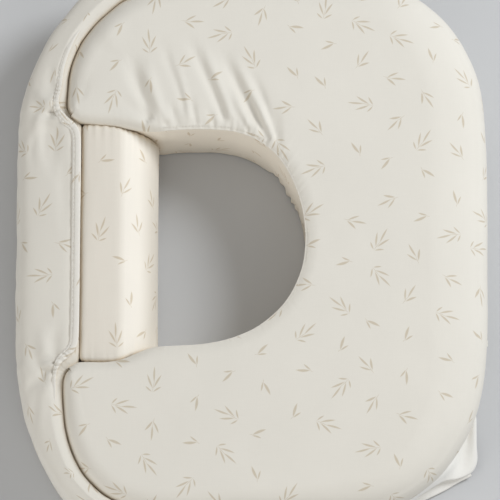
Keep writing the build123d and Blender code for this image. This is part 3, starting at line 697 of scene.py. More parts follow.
def build_wrap_band(points, section):
    printed_width = 66
    round_run = arc_length(np.column_stack([section[:, 0] * printed_width + section[:, 1],
                                            section[:, 2]]))
    uv = np.zeros(points.shape[:2] + (2,))
    uv[..., 0] = 0.5 * (band_run + band_outer_run)[:, None] + 611
    uv[..., 1] = (round_run - round_run[int(np.argmax(section[:, 2]))])[None] + 200
    return grid_mesh("wrap_band", points, uv, close_columns=True, flip=True, caps=True)


band_section = even_band_section()
band = band_surface(band_section)
wrinkle_band(band, band_section)
wrap_band = build_wrap_band(band, band_section)

# ------------------------------------------------------------------ hem binding on the band
HEM_SECTION = [  # tape with a rounded inner lip, a stitched ditch and a thin outer foot
    (3.6, -2.4), (4, -0.6), (3.8, 1), (2.9, 2), (1.4, 2.35), (-0.6, 2.25), (-2, 1.8),
    (-2.7, 1.15), (-3.2, 0.95), (-3.9, 1.05), (-4.7, 0.7), (-5.4, -0.1), (-5.9, -1.3),
    (-5.6, -2.4), (-2, -2.8), (2, -2.8),
]


def band_top_z(plan):
    """height of the band's top under each plan point"""
    top = band[:, band_section[:, 2] > 90].reshape(-1, 3)
    heights = []
    for point in plan:
        nearest = np.argsort(np.linalg.norm(top[:, :2] - point, axis=1))[:4]
        heights.append(top[nearest, 2].max())
    return np.array(heights)


def build_hem():
    """binding over the band's inner edge, and its stitch line"""
    start = run_near(band_inner, band_run, (-150, 280))
    end = run_near(band_inner, band_run, (-188, -274))
    line = band_inner + band_inner_normal * (4 - 0.6 * on_back)[:, None]
    line = smooth(line[(band_run > start) & (band_run < end)], 3)
    line_run = arc_length(line)
    run = np.linspace(0, line_run[-1], 620)
    plan = at_length(line, run, line_run)
    top = smooth(band_top_z(plan), 7)
    upper = run_near(line, line_run, (-217, 149))
    lower = run_near(line, line_run, (-210.5, -135))

    # full size along the back rest, slimmer on both arms, fading at the ends
    fade = window(run, upper - 118, upper - 60, lower + 18, lower + 62)
    scale = (1 - 0.36 * (1 - smoothstep(upper - 15, upper + 25, run))
             - 0.55 * smoothstep(lower - 14, lower + 14, run))
    scale *= 0.10 + 0.90 * fade
    curl = bell(run, upper, 16) + bell(run, lower, 13)
    along_back = window(run, upper + 20, upper + 50, lower - 40, lower - 15)
    ripple = 0.22 * np.sin(run * 0.31 + 1)
    path = np.column_stack([plan, top - 2.2 + 3 * fade + 1.6 * along_back + 1.2 * curl + ripple])
    section = catmull_rom(HEM_SECTION + HEM_SECTION[:1], per=3)[:-1]
    binding = sweep("hem_binding", path, section, scale=scale, uv_start=(2000, 900))

    # tiny gathers across the top of the hem, strongest at the two turns
    at_turns = bell(run, upper - 14, 26) + bell(run, lower + 2, 16)
    gathers = ((0.85 + 0.45 * (run > 0.5 * (upper + lower))) * at_turns
               * np.sin(run * 1.15 + 1.6 * np.sin(run * 0.19))
               + 0.16 * along_back * np.sin(run * 0.8 + 2 * np.sin(run * 0.07)))
    vertices = np.array([v.co for v in binding.data.vertices]).reshape(len(run), -1, 3)
    vertices[:, :, 2] += (gathers * MM)[:, None] * smoothstep(-1.5, 1, section[:, 1])[None]
    binding.data.vertices.foreach_set("co", vertices.reshape(-1).astype(np.float32))
    binding.data.update()

    along = np.gradient(path, axis=0)
    along /= np.linalg.norm(along, axis=1)[:, None]
    ditch = path - np.cross([0, 0, 1], along) * (3.1 * scale)[:, None]
    ditch = ditch + np.array([0, 0, 1.1]) * scale[:, None]
    sewn = (run > upper - 70) & (run < lower + 22)
    thread = stitches("hem_thread", ditch[sewn], (0, 0, 1), length=2.6, gap=1.2, radius=0.3)
    return binding, thread


hem_binding, hem_thread = build_hem()

# ------------------------------------------------------------------ lumbar roll
ROLL_LEFT = -186.0
ROLL_RIGHT = -103.2
ROLL_CENTRE_X, ROLL_CENTRE_Z = -146.0, 54.0
ROLL_ROWS = 190
ROLL_SECTION = [  # x and z, from the foot of the left side over the top
    (ROLL_LEFT + 2, 4.6), (ROLL_LEFT + 0.4, 12), (ROLL_LEFT, 30), (ROLL_LEFT, 60),
    (ROLL_LEFT - 0.3, 84), (ROLL_LEFT - 1.4, 95), (ROLL_LEFT - 0.9, 100.4),
    (ROLL_LEFT + 2.6, 103.6), (ROLL_LEFT + 14, 104.9), (ROLL_LEFT + 26, 105.2), (-150, 104.9),
    (-145.5, 103.9), (-140.5, 101.8), (-132, 98), (-122.5, 91), (-114, 81.5), (-107.6, 69.5),
    (-104.2, 56), (ROLL_RIGHT, 43), (-103.9, 30), (-107, 18.5), (-114, 9.5), (-124, 4.9),
    (-140, 4), (-164, 4),
]
# x and y of the roll's two ends
FAR_END = ([-190, -180, -160, -145, -125, -103], [132.6, 132.6, 131.2, 128.8, 125.2, 121.2])
NEAR_END = ([-190, -183, -170, -150, -137, -125, -114, -103],
            [-132.8, -134.4, -135.4, -134.8, -131.2, -125.8, -120.5, -115.6])
END_RINGS = (0.995, 0.86, 0.62, 0.36, 0.12)  # sizes of the rings that close an end
ROLL_PRINT_START = 300

roll_loop = catmull_rom(ROLL_SECTION + ROLL_SECTION[:1], per=6)
roll_section = respace(roll_loop, roll_loop, 121)[:-1]
roll_round = np.linspace(0, arc_length(roll_loop)[-1], 121)[:-1]


def end_rings(ring, sign):
    """shrinking copies of an end ring, slightly domed along y"""
    centre = np.array([ROLL_CENTRE_X, ring[:, 1].mean(), ROLL_CENTRE_Z])
    rings = []
    for size in END_RINGS:
        smaller = centre + (ring - centre) * size
        smaller[:, 1] += sign * 0.6 * (1 - size)
        rings.append(smaller)
    return np.array(rings)


def round_in(gap, radius):
    """1 at the end seam, falling to 0 a radius away"""
    return 1 - np.sqrt(np.clip(1 - (1 - np.clip(gap / radius, 0, 1)) ** 2.2, 0, 1))


def build_lumbar_roll():
    """the roll and its end seams"""
    x, z = roll_section.T
    far, near = np.interp(x, *FAR_END), np.interp(x, *NEAR_END)
    even = np.linspace(0, 1, ROLL_ROWS)
    # rows lie a little closer together at the ends
    share = 0.5 - 0.5 * 0.25 * np.cos(np.pi * even) - 0.5 * 0.75 * (1 - 2 * even)
    y = near + (far - near) * share[:, None]
    far_gap, near_gap = far - y, y - near
    pull = 5 * round_in(far_gap, 8) + 6.5 * round_in(near_gap, 6)
    gathers = (1.4 * np.exp(-far_gap / 11)
               * np.sin(roll_round * 0.78 + 1.7 * np.sin(roll_round * 0.13))
               + 0.8 * np.exp(-near_gap / 13)
               * np.sin(roll_round * 0.86 + 1.1 * np.sin(roll_round * 0.21) + 2))
    waves = (0.9 * value_noise(roll_round / 34 + 2, y / 70)
             + 0.25 * value_noise(roll_round / 10 + 12, y / 26))
    outward = gathers + waves - pull
    # the side against the back rest may hardly swell
    outward = np.where(x < ROLL_LEFT + 3, np.minimum(outward, 0.2), outward)
    away_x, away_z = x - ROLL_CENTRE_X, z - ROLL_CENTRE_Z
    away = np.hypot(away_x, away_z)
    body = np.stack([x + away_x / away * outward, y,
                     np.maximum(z + away_z / away * outward, 3.2)], axis=2)
    uv = np.stack([y + 47, np.broadcast_to(roll_round + ROLL_PRINT_START, y.shape)], axis=2)

    near_cap, far_cap = end_rings(body[0], -1)[::-1], end_rings(body[-1], 1)
    # the end discs are cut flat from the cloth, so their print lies flat too
    near_uv = near_cap[..., [0, 2]] + (400, 520)
    far_uv = far_cap[..., [0, 2]] + (520, 740)
    roll = grid_mesh("lumbar_roll", np.concatenate([near_cap, body, far_cap]),
                     np.concatenate([near_uv, uv, far_uv]), close_columns=True, caps=True)
    seams = []
    for name, ring in (("roll_seam_far", body[-1]), ("roll_seam_near", body[0])):
        path = ring + (ring - ring.mean(0)) * 0.004
        seams.append(tube(name, path, radius=0.6, sides=6, closed=True, up=(0, 1, 0)))
    return roll, *seams


lumbar_roll, roll_seam_far, roll_seam_near = build_lumbar_roll()

# ------------------------------------------------------------------ waist strap
strap_low, strap_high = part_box("waist_strap")
STRAP_TOP = strap_high.z / MM - 0.4
STRAP_BOTTOM = strap_low.z / MM + 0.4
STRAP_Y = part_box("strap_adjuster")[0].y / MM + 4.0  # the strap's plane inside the adjuster
FOLD_Y = STRAP_Y - 5.2  # the layer folded back round the bar
BAR_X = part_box("buckle_male")[1].x / MM - 8.6  # inner side of the male half's bar
STRAP_STRAIGHT = [  # x and y round the bar and along the cushion's near side
    (BAR_X + 22, FOLD_Y), (BAR_X + 12, FOLD_Y), (BAR_X + 2.5, FOLD_Y), (BAR_X - 0.2, FOLD_Y + 1),
    (BAR_X - 0.9, FOLD_Y + 2.6), (BAR_X - 0.2, STRAP_Y - 1), (BAR_X + 2.5, STRAP_Y),
    (BAR_X + 20, STRAP_Y), (84, STRAP_Y), (128, STRAP_Y),
]
# x, y, z of the slack part's edges, up to the anchor
SLACK_TOP = [
    (142, -300.5, 62.5), (158, -289.5, 57), (177, -275, 51), (196, -260, 45), (210, -245.5, 37),
    (221, -231, 30), (229, -215.5, 28), (235, -200, 31), (238, -186, 38), (244, -172, 48),
    (249, -161, 57), (254, -152, STRAP_TOP),
]
SLACK_BOTTOM = [
    (143, -301, 33), (159, -290, 28), (179, -275.5, 24), (197, -263, 20), (213, -253.5, 16),
    (228, -251, 12), (239.5, -246, 8.5), (247.6, -238.5, 7.5), (252.2, -226, 9),
    (249.6, -211, 13), (235.5, -188, 24), (254, -152, STRAP_BOTTOM),
]
# x, y, z of the folded-back tail's edges
TAIL_TOP = [(240, -233, 11), (226, -239, 13), (210, -248.5, 13), (192, -260, 12.5),
            (174, -269.5, 12), (156, -279, 12), (140, -286.5, 13)]
TAIL_BOTTOM = [(245.5, -246, 4.6), (230, -253.5, 3.2), (215.5, -262, 2.4), (198, -270.5, 2.2),
               (179.5, -278.5, 2.6), (160, -287.5, 4), (141, -295.5, 7)]


def at_height(plan, z):
    return [(x, y, z) for x, y in plan]


def slack_wave(run, v):
    """twist and ripple of the slack part"""
    twist = 3.3 * np.sin(v * 4.4 + run * 0.075) * np.sin(np.pi * np.clip(v, 0, 1))
    return bell(run, 285, 62) * (twist + 1.3 * np.sin(run * 0.13 + v * 3) * (0.3 + 0.7 * v))


def tail_wave(run, v):
    return np.sin(run * 0.12 + v * 2) * np.sin(np.pi * v)


def build_buckle_tab():
    """the loop of strap on the buckle's other side"""
    low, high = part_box("buckle_tab")
    x_start, x_turn = low.x / MM - 1.2, high.x / MM - 0.9
    y_near, y_far = low.y / MM + 0.8, high.y / MM - 0.8
    plan = [(x_start, y_far), (x_start + 8, y_far), (x_turn - 2.2, y_far),
            (x_turn, (y_near + y_far) / 2), (x_turn - 2.2, y_near), (x_start + 8, y_near),
            (x_start, y_near + 0.6)]
    return ribbon("buckle_tab_soft", at_height(plan, STRAP_TOP), at_height(plan, STRAP_BOTTOM),
                  thickness=1.5, columns=12, rows=90, uv_start=3800)


def build_anchor():
    """patch on the cushion's right side, and its boxed cross of stitches"""
    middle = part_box("strap_anchor")[0].x / MM + 0.9
    plan = [(middle - 4.4, -151.6, 2.4), (middle - 2.4, -140, 2.8), (middle - 1.2, -127.6, 2.4)]
    patch = ribbon("strap_anchor_patch", [(x, y, STRAP_TOP + edge) for x, y, edge in plan],
                   [(x, y, STRAP_BOTTOM - edge) for x, y, edge in plan],
                   thickness=1.4, columns=12, rows=40, uv_start=3900)
    near, far = (middle - 3.2, -149.5), (middle - 0.4, -129.5)
    near_top, near_bottom = (*near, STRAP_TOP), (*near, STRAP_BOTTOM)
    far_top, far_bottom = (*far, STRAP_TOP), (*far, STRAP_BOTTOM)
    corners = np.array([near_top, far_top, far_bottom, near_bottom, near_top, far_bottom,
                        far_top, near_bottom])
    path = np.vstack([np.linspace(a, b, 40) for a, b in zip(corners, corners[1:])])
    thread = stitches("anchor_thread", path, (1, 0, 0), length=2.4, gap=1, radius=0.3)
    return patch, thread


waist_strap = ribbon("waist_strap_soft", at_height(STRAP_STRAIGHT, STRAP_TOP) + SLACK_TOP,
                     at_height(STRAP_STRAIGHT, STRAP_BOTTOM) + SLACK_BOTTOM, thickness=1.6,
                     columns=18, rows=420, uv_start=3000, wave=slack_wave)
strap_tail = ribbon("strap_tail", TAIL_TOP, TAIL_BOTTOM, thickness=1.5, columns=12, rows=120,
                    uv_start=3600, wave=tail_wave)
buckle_tab = build_buckle_tab()
anchor, anchor_thread = build_anchor()


# ------------------------------------------------------------------ cushion stitch lines
def build_opening_thread():
    """stitches on the top, beside the opening"""
    plan = inner_edge + inner_normal * 3
    gaps = np.linalg.norm(cushion[:, :TOP_COLUMNS, :2] - plan[:, None], axis=2)
    z = cushion[np.arange(STATIONS), gaps.argmin(1), 2] + 0.12
    sewn = (inner_run > 96) & (inner_run < inner_end - 70)
    path = smooth(np.column_stack([plan, z])[sewn], 2)
    return stitches("opening_thread", path, (0, 0, 1), length=2.4, gap=1.2, radius=0.26)


def build_side_thread():
    """stitches just below the outer seam"""
    heights = cushion[STATIONS // 2, :, 2]
    off_wall = np.arange(len(heights)) < TOP_COLUMNS + 8
    seam_column = int(np.argmin(np.abs(heights - SIDE_SEAM_Z) + 1000 * off_wall))
    path = cushion[:, seam_column + 1].copy()
    path[:, :2] += outer_normal * 0.5
    path[:, 2] -= 1.2
    outward = np.column_stack([outer_normal, np.zeros(STATIONS)])
    return stitches("side_thread", smooth(path[8:-8], 2), outward[8:-8],
                    length=2.8, gap=1.4, radius=0.26)


opening_thread = build_opening_thread()
side_thread = build_side_thread()


# ------------------------------------------------------------------ shader helpers
class Graph:
    """adds and wires shader nodes; numbers and sockets can both feed an input"""

    def __init__(self, tree):
        self.tree = tree

    def put(self, socket, value):
        if isinstance(value, bpy.types.NodeSocket):
            self.tree.links.new(value, socket)
        else:
            socket.default_value = value

    def fill(self, node, inputs):
        for key, value in inputs.items():
            self.put(node.inputs[key], value)

    def node(self, kind, inputs=None, **settings):
        node = self.tree.nodes.new("ShaderNode" + kind)
        for key, value in settings.items():
            setattr(node, key, value)
        self.fill(node, inputs or {})
        return node

    def math(self, operation, *values, clamp=False):
        inputs = dict(enumerate(values))
        return self.node("Math", inputs, operation=operation, use_clamp=clamp).outputs[0]

    def vector(self, operation, a, b):
        return self.node("VectorMath", {0: a, 1: b}, operation=operation).outputs[0]

    def split(self, vector):
        return self.node("SeparateXYZ", {0: vector}).outputs

    def mix(self, factor, a, b, mode="MIX"):
        inputs = {0: factor, 6: a, 7: b}
        return self.node("Mix", inputs, data_type="RGBA", blend_type=mode).outputs[2]

    def tint(self, colour, by):
        return self.mix(1.0, colour, by, "MULTIPLY")

    def grey(self, value):
        return self.node("CombineColor", {0: value, 1: value, 2: value}).outputs[0]

    def noise(self, vector, scale, detail=2.0, roughness=0.5):
        return self.node("TexNoise", {"Vector": vector, "Scale": scale, "Detail": detail,
                                      "Roughness": roughness}).outputs["Fac"]

    def stretch(self, vector, scale):
        return self.node("Mapping", {"Vector": vector, "Scale": scale}).outputs[0]

    def remap(self, value, source, target):
        """map the source range onto the target range, clamped"""
        inputs = dict(enumerate((value, *source, *target)))
        return self.node("MapRange", inputs).outputs[0]

    def bump(self, height, strength, distance, **more):
        return self.node("Bump", {"Strength": strength, "Distance": distance, "Height": height,
                                  **more}).outputs[0]


def new_material(name):
    material = bpy.data.materials.new(name)
    material.use_nodes = True
    material.node_tree.nodes.clear()
    graph = Graph(material.node_tree)
    output = graph.node("OutputMaterial")
    surface = graph.node("BsdfPrincipled")
    graph.put(output.inputs[0], surface.outputs[0])
    return material, graph, surface


def leaf_group():
    """above zero inside a slim leaf; the point is scaled to its half length and half width"""
    tree = bpy.data.node_groups.new("leaf_shape", "ShaderNodeTree")
    tree.interface.new_socket("Point", in_out="INPUT", socket_type="NodeSocketVector")
    tree.interface.new_socket("Value", in_out="OUTPUT", socket_type="NodeSocketFloat")
    graph = Graph(tree)
    group_in = tree.nodes.new("NodeGroupInput")
    group_out = tree.nodes.new("NodeGroupOutput")
    x, y, _ = graph.split(group_in.outputs[0])
    bend = graph.math("MULTIPLY", graph.math("MULTIPLY", x, x), 0.35)
    curved_y = graph.math("ADD", y, bend)
    body = graph.math("SUBTRACT", 1.0, graph.math("MULTIPLY", x, x))
    inside = graph.math("SUBTRACT", body, graph.math("ABSOLUTE", curved_y))
    graph.put(group_out.inputs[0], inside)
    return tree


LEAF = leaf_group()
SPRIGS = [  # leaves of each design: base x, base y, direction in degrees, length, half width
    [(-7.0, -1.6, 4, 3.0, 0.18), (-5.2, -1.7, 33, 11.5, 1.2), (-5.0, -1.8, -6, 7.4, 0.75)],
    [(-8.5, -0.4, 6, 8.0, 0.2), (-5.2, -0.2, 42, 9.8, 0.8), (-2.6, 0.1, 14, 12.0, 0.9),
     (-5.4, -0.3, -22, 9.6, 1.0)],
    [(-10.5, 0.0, 2, 10.5, 0.2), (-9.4, 0.2, 60, 6.6, 0.7), (-7.2, 0.2, 33, 12.0, 0.85),
     (-3.2, 0.2, 11, 13.0, 0.85), (-6.6, 0.0, -18, 11.8, 0.9), (-9.2, -0.1, -46, 7.6, 0.75)],
]
SPRIG_CELL = 42.0  # mm between sprigs
SPRIG_SCALE = 1.56
SPRIG_JITTER = 11.0  # mm a sprig may stray, end to end
SPRIG_SKEW = 0.47  # radians the grid is turned on the cloth
ROW_SHIFT = 0.4142  # share of a cell each row slides
KIND_ENDS = (0.40, 0.64, 0.965)  # upper ends of the three designs' shares; the rest is bare


def sprig_shape(graph, point, leaves):
    """mask of one sprig design"""
    best = None
    for base_x, base_y, degrees, length, half_width in leaves:
        base_x, base_y = base_x * SPRIG_SCALE, base_y * SPRIG_SCALE
        length, half_width = length * SPRIG_SCALE, half_width * SPRIG_SCALE
        angle = math.radians(degrees)
        centre = (base_x + math.cos(angle) * length / 2, base_y + math.sin(angle) * length / 2, 0)
        place = graph.node("Mapping", {
            "Vector": point, "Location": centre, "Rotation": (0, 0, angle),
            "Scale": (length / 2, half_width, 1)}, vector_type="TEXTURE")
        leaf = graph.node("Group", node_tree=LEAF)
        graph.put(leaf.inputs[0], place.outputs[0])
        best = leaf.outputs[0] if best is None else graph.math("MAXIMUM", best, leaf.outputs[0])
    return graph.remap(best, (0.0, 0.5), (0.0, 1.0))


def sprig_mask(graph, cloth):
    """sparse scattered sprigs on a plane measured in millimetres"""
    skewed = graph.node("VectorRotate", {"Vector": cloth, "Angle": SPRIG_SKEW},
                        rotation_type="Z_AXIS")
    across, up, _ = graph.split(skewed.outputs[0])
    u = graph.math("DIVIDE", across, SPRIG_CELL)
    v = graph.math("DIVIDE", up, SPRIG_CELL)
    row = graph.math("FLOOR", v)
    u = graph.math("ADD", u, graph.math("MULTIPLY", row, ROW_SHIFT))
    column = graph.math("FLOOR", u)
    cell = graph.node("CombineXYZ", {0: column, 1: row}).outputs[0]
    place = graph.node("TexWhiteNoise", {"Vector": cell}, noise_dimensions="3D")
    random = graph.node("SeparateColor", {0: place.outputs["Color"]}).outputs
    other_cell = graph.vector("ADD", cell, (17.3, 5.1, 9.7))
    kind = graph.node("TexWhiteNoise", {"Vector": other_cell},
                      noise_dimensions="3D").outputs["Value"]
    local = []
    for position, index, chance in ((u, column, random[0]), (v, row, random[1])):
        inside = graph.math("SUBTRACT", graph.math("SUBTRACT", position, index), 0.5)
        stray = graph.math("MULTIPLY", graph.math("SUBTRACT", chance, 0.5), SPRIG_JITTER)
        local.append(graph.math("SUBTRACT", graph.math("MULTIPLY", inside, SPRIG_CELL), stray))
    turned = graph.node("VectorRotate", {
        "Vector": graph.node("CombineXYZ", {0: local[0], 1: local[1]}).outputs[0],
        "Angle": graph.math("MULTIPLY", random[2], 6.2832)}, rotation_type="Z_AXIS").outputs[0]
    masks = [sprig_shape(graph, turned, leaves) for leaves in SPRIGS]
    chosen = [graph.math("LESS_THAN", kind, KIND_ENDS[0])]
    for low, high in zip(KIND_ENDS, KIND_ENDS[1:]):
        chosen.append(graph.math("MULTIPLY", graph.math("GREATER_THAN", kind, low),
                                 graph.math("LESS_THAN", kind, high)))
    first, second, third = [graph.math("MULTIPLY", *pair) for pair in zip(masks, chosen)]
    return graph.math("ADD", graph.math("ADD", first, second), third, clamp=True)


# ------------------------------------------------------------------ materials
INK = (0.775, 0.71, 0.615, 1)  # multiplies the cloth where a sprig is printed
PAINTED_CONTACT_SHADE = (0.90, 0.79, 0.645, 1)  # painted shade: darkens and warms the cloth where cloth meets cloth
WEAVE_PITCH = 0.62  # mm


def cotton(name, colour, printed=False, sheen=0.12, roughness=0.82, weave=1.0, specular=0.18,
           highlight_strip=None):
    """woven cloth; highlight_strip is (start, end, tint) of a painted highlight strip across the
    print map's v, in mm
    """
    material, graph, surface = new_material(name)
    uv = graph.node("UVMap", uv_map="print").outputs[0]
    cloth = graph.vector("MULTIPLY", uv, (1 / UV_PER_MM,) * 3)
    place = graph.node("TexCoord").outputs["Object"]
    # base tone: broad mottling and the slubs of both thread directions
    mottle = graph.noise(place, scale=9.0, detail=3.0)
    slubs = [graph.noise(graph.stretch(cloth, scale), scale=1.0, detail=3.0)
             for scale in ((0.05, 1.1, 1.0), (1.1, 0.05, 1.0))]
    slub_tone = graph.math("SUBTRACT", graph.math("ADD", *slubs), 1.0)
    tone = graph.math("ADD", graph.remap(mottle, (0.3, 0.7), (0.985, 1.012)),
                      graph.math("MULTIPLY", slub_tone, 0.03))
    tinted = graph.tint((*colour, 1), graph.grey(tone))
    # painted highlight: a strip of the cloth lightened and cooled where it faces the key light
    if highlight_strip is not None:
        start, end, highlight_tint = highlight_strip
        v = graph.split(cloth)[1]
        strip = graph.math("MULTIPLY", graph.remap(v, (start, start + 9), (0, 1)),
                           graph.remap(v, (end, end + 22), (1, 0)))
        tinted = graph.mix(strip, tinted, graph.tint(tinted, (*highlight_tint, 1)))
    if printed:
        mask = sprig_mask(graph, cloth)
        coverage = graph.remap(graph.noise(cloth, scale=0.9), (0.3, 0.7), (0.82, 1.0))
        tinted = graph.mix(graph.math("MULTIPLY", mask, coverage), tinted,
                           graph.tint(tinted, INK))
    # painted shade: ambient occlusion darkens and warms the cloth's colour in creases and gaps where
    # cloth meets cloth
    contact = graph.node("AmbientOcclusion", {"Distance": 0.026}, samples=4).outputs["AO"]
    painted_shade_amount = graph.math("MULTIPLY", graph.remap(contact, (0.05, 0.70), (1.0, 0.0)), 0.75)
    tinted = graph.mix(painted_shade_amount, tinted, graph.tint(tinted, PAINTED_CONTACT_SHADE))

    # weave: warp and weft ribs with slubs, then a soft crumple
    across, up, _ = graph.split(cloth)
    turns = 2 * math.pi / WEAVE_PITCH
    ribs = [graph.math("SINE", graph.math("MULTIPLY", axis, turns)) for axis in (across, up)]
    height = graph.math("ADD", graph.math("MULTIPLY", graph.math("MULTIPLY", *ribs), 0.5),
                        graph.math("MULTIPLY", graph.math("ADD", *slubs), 1.1))
    woven = graph.bump(height, strength=0.22 * weave, distance=0.00022)
    crumple = graph.noise(cloth, scale=0.035, detail=4.0, roughness=0.45)
    graph.fill(surface, {
        "Base Color": tinted,
        "Roughness": graph.remap(graph.noise(cloth, scale=0.25, detail=3.0), (0.3, 0.7),
                                 (roughness - 0.06, roughness + 0.06)),
        "Sheen Weight": sheen,
        "Sheen Roughness": 0.4,
        "Specular IOR Level": specular,
        "Normal": graph.bump(crumple, strength=0.35, distance=0.0011, Normal=woven),
    })
    return material


def plain_material(name, colour, roughness, metallic=0.0, bump=0.2, grain=900.0, depth=0.0001,
                   edge=0.0, specular=0.5, ribs=None):
    """grained surface; edge lightens convex edges, ribs is (axis index, pitch in mm)"""
    material, graph, surface = new_material(name)
    place = graph.node("TexCoord").outputs["Object"]
    grains = graph.noise(place, scale=grain, detail=4.0, roughness=0.6)
    mottle = graph.noise(place, scale=60.0, detail=3.0)
    tone = graph.remap(mottle, (0.3, 0.7), (1 - 0.04, 1 + 0.04))
    tinted = graph.tint((*colour, 1), graph.grey(tone))
    if edge:
        pointiness = graph.node("NewGeometry").outputs["Pointiness"]
        lighter = [min(1, channel * 1.15) for channel in colour]
        tinted = graph.mix(graph.remap(pointiness, (0.5, 0.58), (0.0, edge)), tinted,
                           (*lighter, 1))
    height = grains
    if ribs:
        axis, pitch = ribs
        phase = graph.math("MULTIPLY", graph.split(place)[axis], math.pi / (pitch * MM))
        height = graph.math("ADD", graph.math("MULTIPLY", grains, 0.3),
                            graph.math("ABSOLUTE", graph.math("SINE", phase)))
    graph.fill(surface, {
        "Base Color": tinted,
        "Roughness": graph.remap(grains, (0.3, 0.7), (roughness - 0.07, roughness + 0.07)),
        "Metallic": metallic,
        "Specular IOR Level": specular,
        "Normal": graph.bump(height, strength=bump, distance=depth),
    })
    return material


def floor_material():
    material, graph, surface = new_material("floor_grey")
    place = graph.node("TexCoord").outputs["Object"]
    graph.fill(surface, {
        "Base Color": graph.mix(graph.noise(place, scale=3.0, detail=3.0),
                                (0.590, 0.602, 0.622, 1), (0.602, 0.614, 0.634, 1)),
        "Roughness": 0.9,
        "Specular IOR Level": 0.1,
    })
    return material


def paint(obj, material):
    if not obj.data.materials:
        obj.data.materials.append(material)
    for material_slot in obj.material_slots:
        material_slot.material = material


# painted highlight: the roll is lightened on the slope that faces the key light; the strip starts
# where its top turns down, at x = -146.5
bend_index = np.argmin(np.abs(roll_section[:, 0] + 146.5) + 1000 * (roll_section[:, 1] < 90))
bend = float(roll_round[int(bend_index)]) + ROLL_PRINT_START

print_cotton = cotton("printed_cotton", (0.792, 0.769, 0.712), printed=True)
roll_cotton = cotton("roll_cotton", (0.802, 0.760, 0.688), printed=True,
                     highlight_strip=(bend, bend + 26, (1.20, 1.215, 1.235)))
# painted light: the opening's wall gets a lighter, warmer copy of the printed cotton in place of
# light it lacks
wall_cotton_painted_light = cotton("wall_cotton_painted_light", (0.86, 0.805, 0.715), printed=True)
plain_cotton = cotton("plain_cotton", (0.80, 0.775, 0.72))
trim_cotton = cotton("binding_cotton", (0.82, 0.80, 0.752), printed=True, roughness=0.72,
                     sheen=0.2, weave=0.7)
satin = cotton("satin_strap", (0.90, 0.895, 0.865), roughness=0.42, sheen=0.35, weave=0.5,
               specular=0.45)
thread = plain_material("thread", (0.82, 0.795, 0.74), roughness=0.6, bump=0.5, grain=2500.0)
buckle_plastic = plain_material("buckle_plastic", (0.74, 0.72, 0.67), roughness=0.42, bump=0.18,
                                grain=1800.0, edge=0.5)
zip_tape = plain_material("zip_tape", (0.80, 0.78, 0.73), roughness=0.85, bump=0.6,
                          ribs=(2, 1.0), depth=0.0003, specular=0.2)
zip_coil = plain_material("zip_coil", (0.78, 0.76, 0.71), roughness=0.4, bump=1.0,
                          ribs=(1, 1.5), depth=0.0006)
zip_metal = plain_material("zip_metal", (0.76, 0.745, 0.70), roughness=0.3, metallic=0.15,
                           bump=0.08, grain=600, edge=0.6)
loop_tape = plain_material("loop_tape", (0.83, 0.82, 0.78), roughness=0.95, bump=1.0,
                           grain=1500.0, depth=0.0008, specular=0.1)
blank_label = plain_material("blank_label", (0.86, 0.855, 0.84), roughness=0.45, bump=0.3,
                             ribs=(2, 0.7), depth=0.00012)

FINISHES = [  # piece, material, colour slot
    (cushion_cover, print_cotton, "printed_cotton"), (opening_wall, wall_cotton_painted_light, "printed_cotton"),
    (wrap_band, print_cotton, "printed_cotton"), (lumbar_roll, roll_cotton, "printed_cotton"),
    (base_panel, plain_cotton, "plain_cotton"), (hem_binding, trim_cotton, "trim"),
    (opening_pipe, plain_cotton, "trim"), (waist_strap, satin, "satin"),
    (strap_tail, satin, "satin"), (buckle_tab, satin, "satin"), (anchor, satin, "satin"),
    (hem_thread, thread, "trim"), (opening_thread, thread, "trim"), (side_thread, thread, "trim"),
    (anchor_thread, thread, "trim"), (roll_seam_far, trim_cotton, "trim"),
    (roll_seam_near, trim_cotton, "trim"),
]
CAD_FINISHES = [
    (buckle_plastic, ("buckle_female", "buckle_male", "prong_upper", "prong_lower",
                      "strap_adjuster")),
    (zip_tape, ("zip_tape",)), (zip_coil, ("zip_coil",)),
    (zip_metal, ("zip_slider", "zip_pull", "zip_stops")),
    (loop_tape, ("loop_patch", "hook_patch")), (blank_label, ("care_label",)),
]
for piece, material, _ in FINISHES:
    paint(piece, material)
for material, names in CAD_FINISHES:
    for name in names:
        paint(frame["nodes"][name], material)

# ------------------------------------------------------------------ riding and replacing
for piece in (cushion_cover, base_panel, opening_wall, opening_pipe, opening_thread, side_thread,
              strap_tail, anchor, anchor_thread):
    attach(piece, "cushion")
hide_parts("cover_top", "cover_side", "foam_core")
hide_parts("cover_base")
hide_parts("cover_opening_wall")
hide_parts("opening_piping")
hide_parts("strap_anchor")
for piece in (lumbar_roll, roll_seam_far, roll_seam_near):
    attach(piece, "lumbar_roll")
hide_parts("lumbar_roll_cover", "lumbar_roll_ends", "lumbar_roll_foam")
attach(buckle_tab, "back_rest")
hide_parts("buckle_tab")
for piece in (wrap_band, hem_binding, hem_thread):
    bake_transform(piece)
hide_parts("upper_band_cover", "upper_band_base", "upper_band_foam", "hinge_gusset",
            "back_rest_cover", "back_rest_base", "back_rest_foam", "lower_band_cover",
            "lower_band_base", "lower_band_foam")
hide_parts("back_hem", "hem_elastic")
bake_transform(waist_strap)
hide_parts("waist_strap")

# ------------------------------------------------------------------ floor, lights, camera
FLOOR_HALF, FLOOR_Z = 6000, -0.5
FLOOR_CORNERS = [(x * FLOOR_HALF, y * FLOOR_HALF, FLOOR_Z)
                 for x, y in ((-1, -1), (1, -1), (1, 1), (-1, 1))]
floor = add_mesh("floor", FLOOR_CORNERS, [(0, 1, 2, 3)], shade_smooth=False)
paint(floor, floor_material())

world = bpy.data.worlds.new("world")
scene.world = world
world.use_nodes = True
background = world.node_tree.nodes["Background"]
background.inputs["Color"].default_value = (1.0, 0.975, 0.93, 1)
background.inputs["Strength"].default_value = 0.40


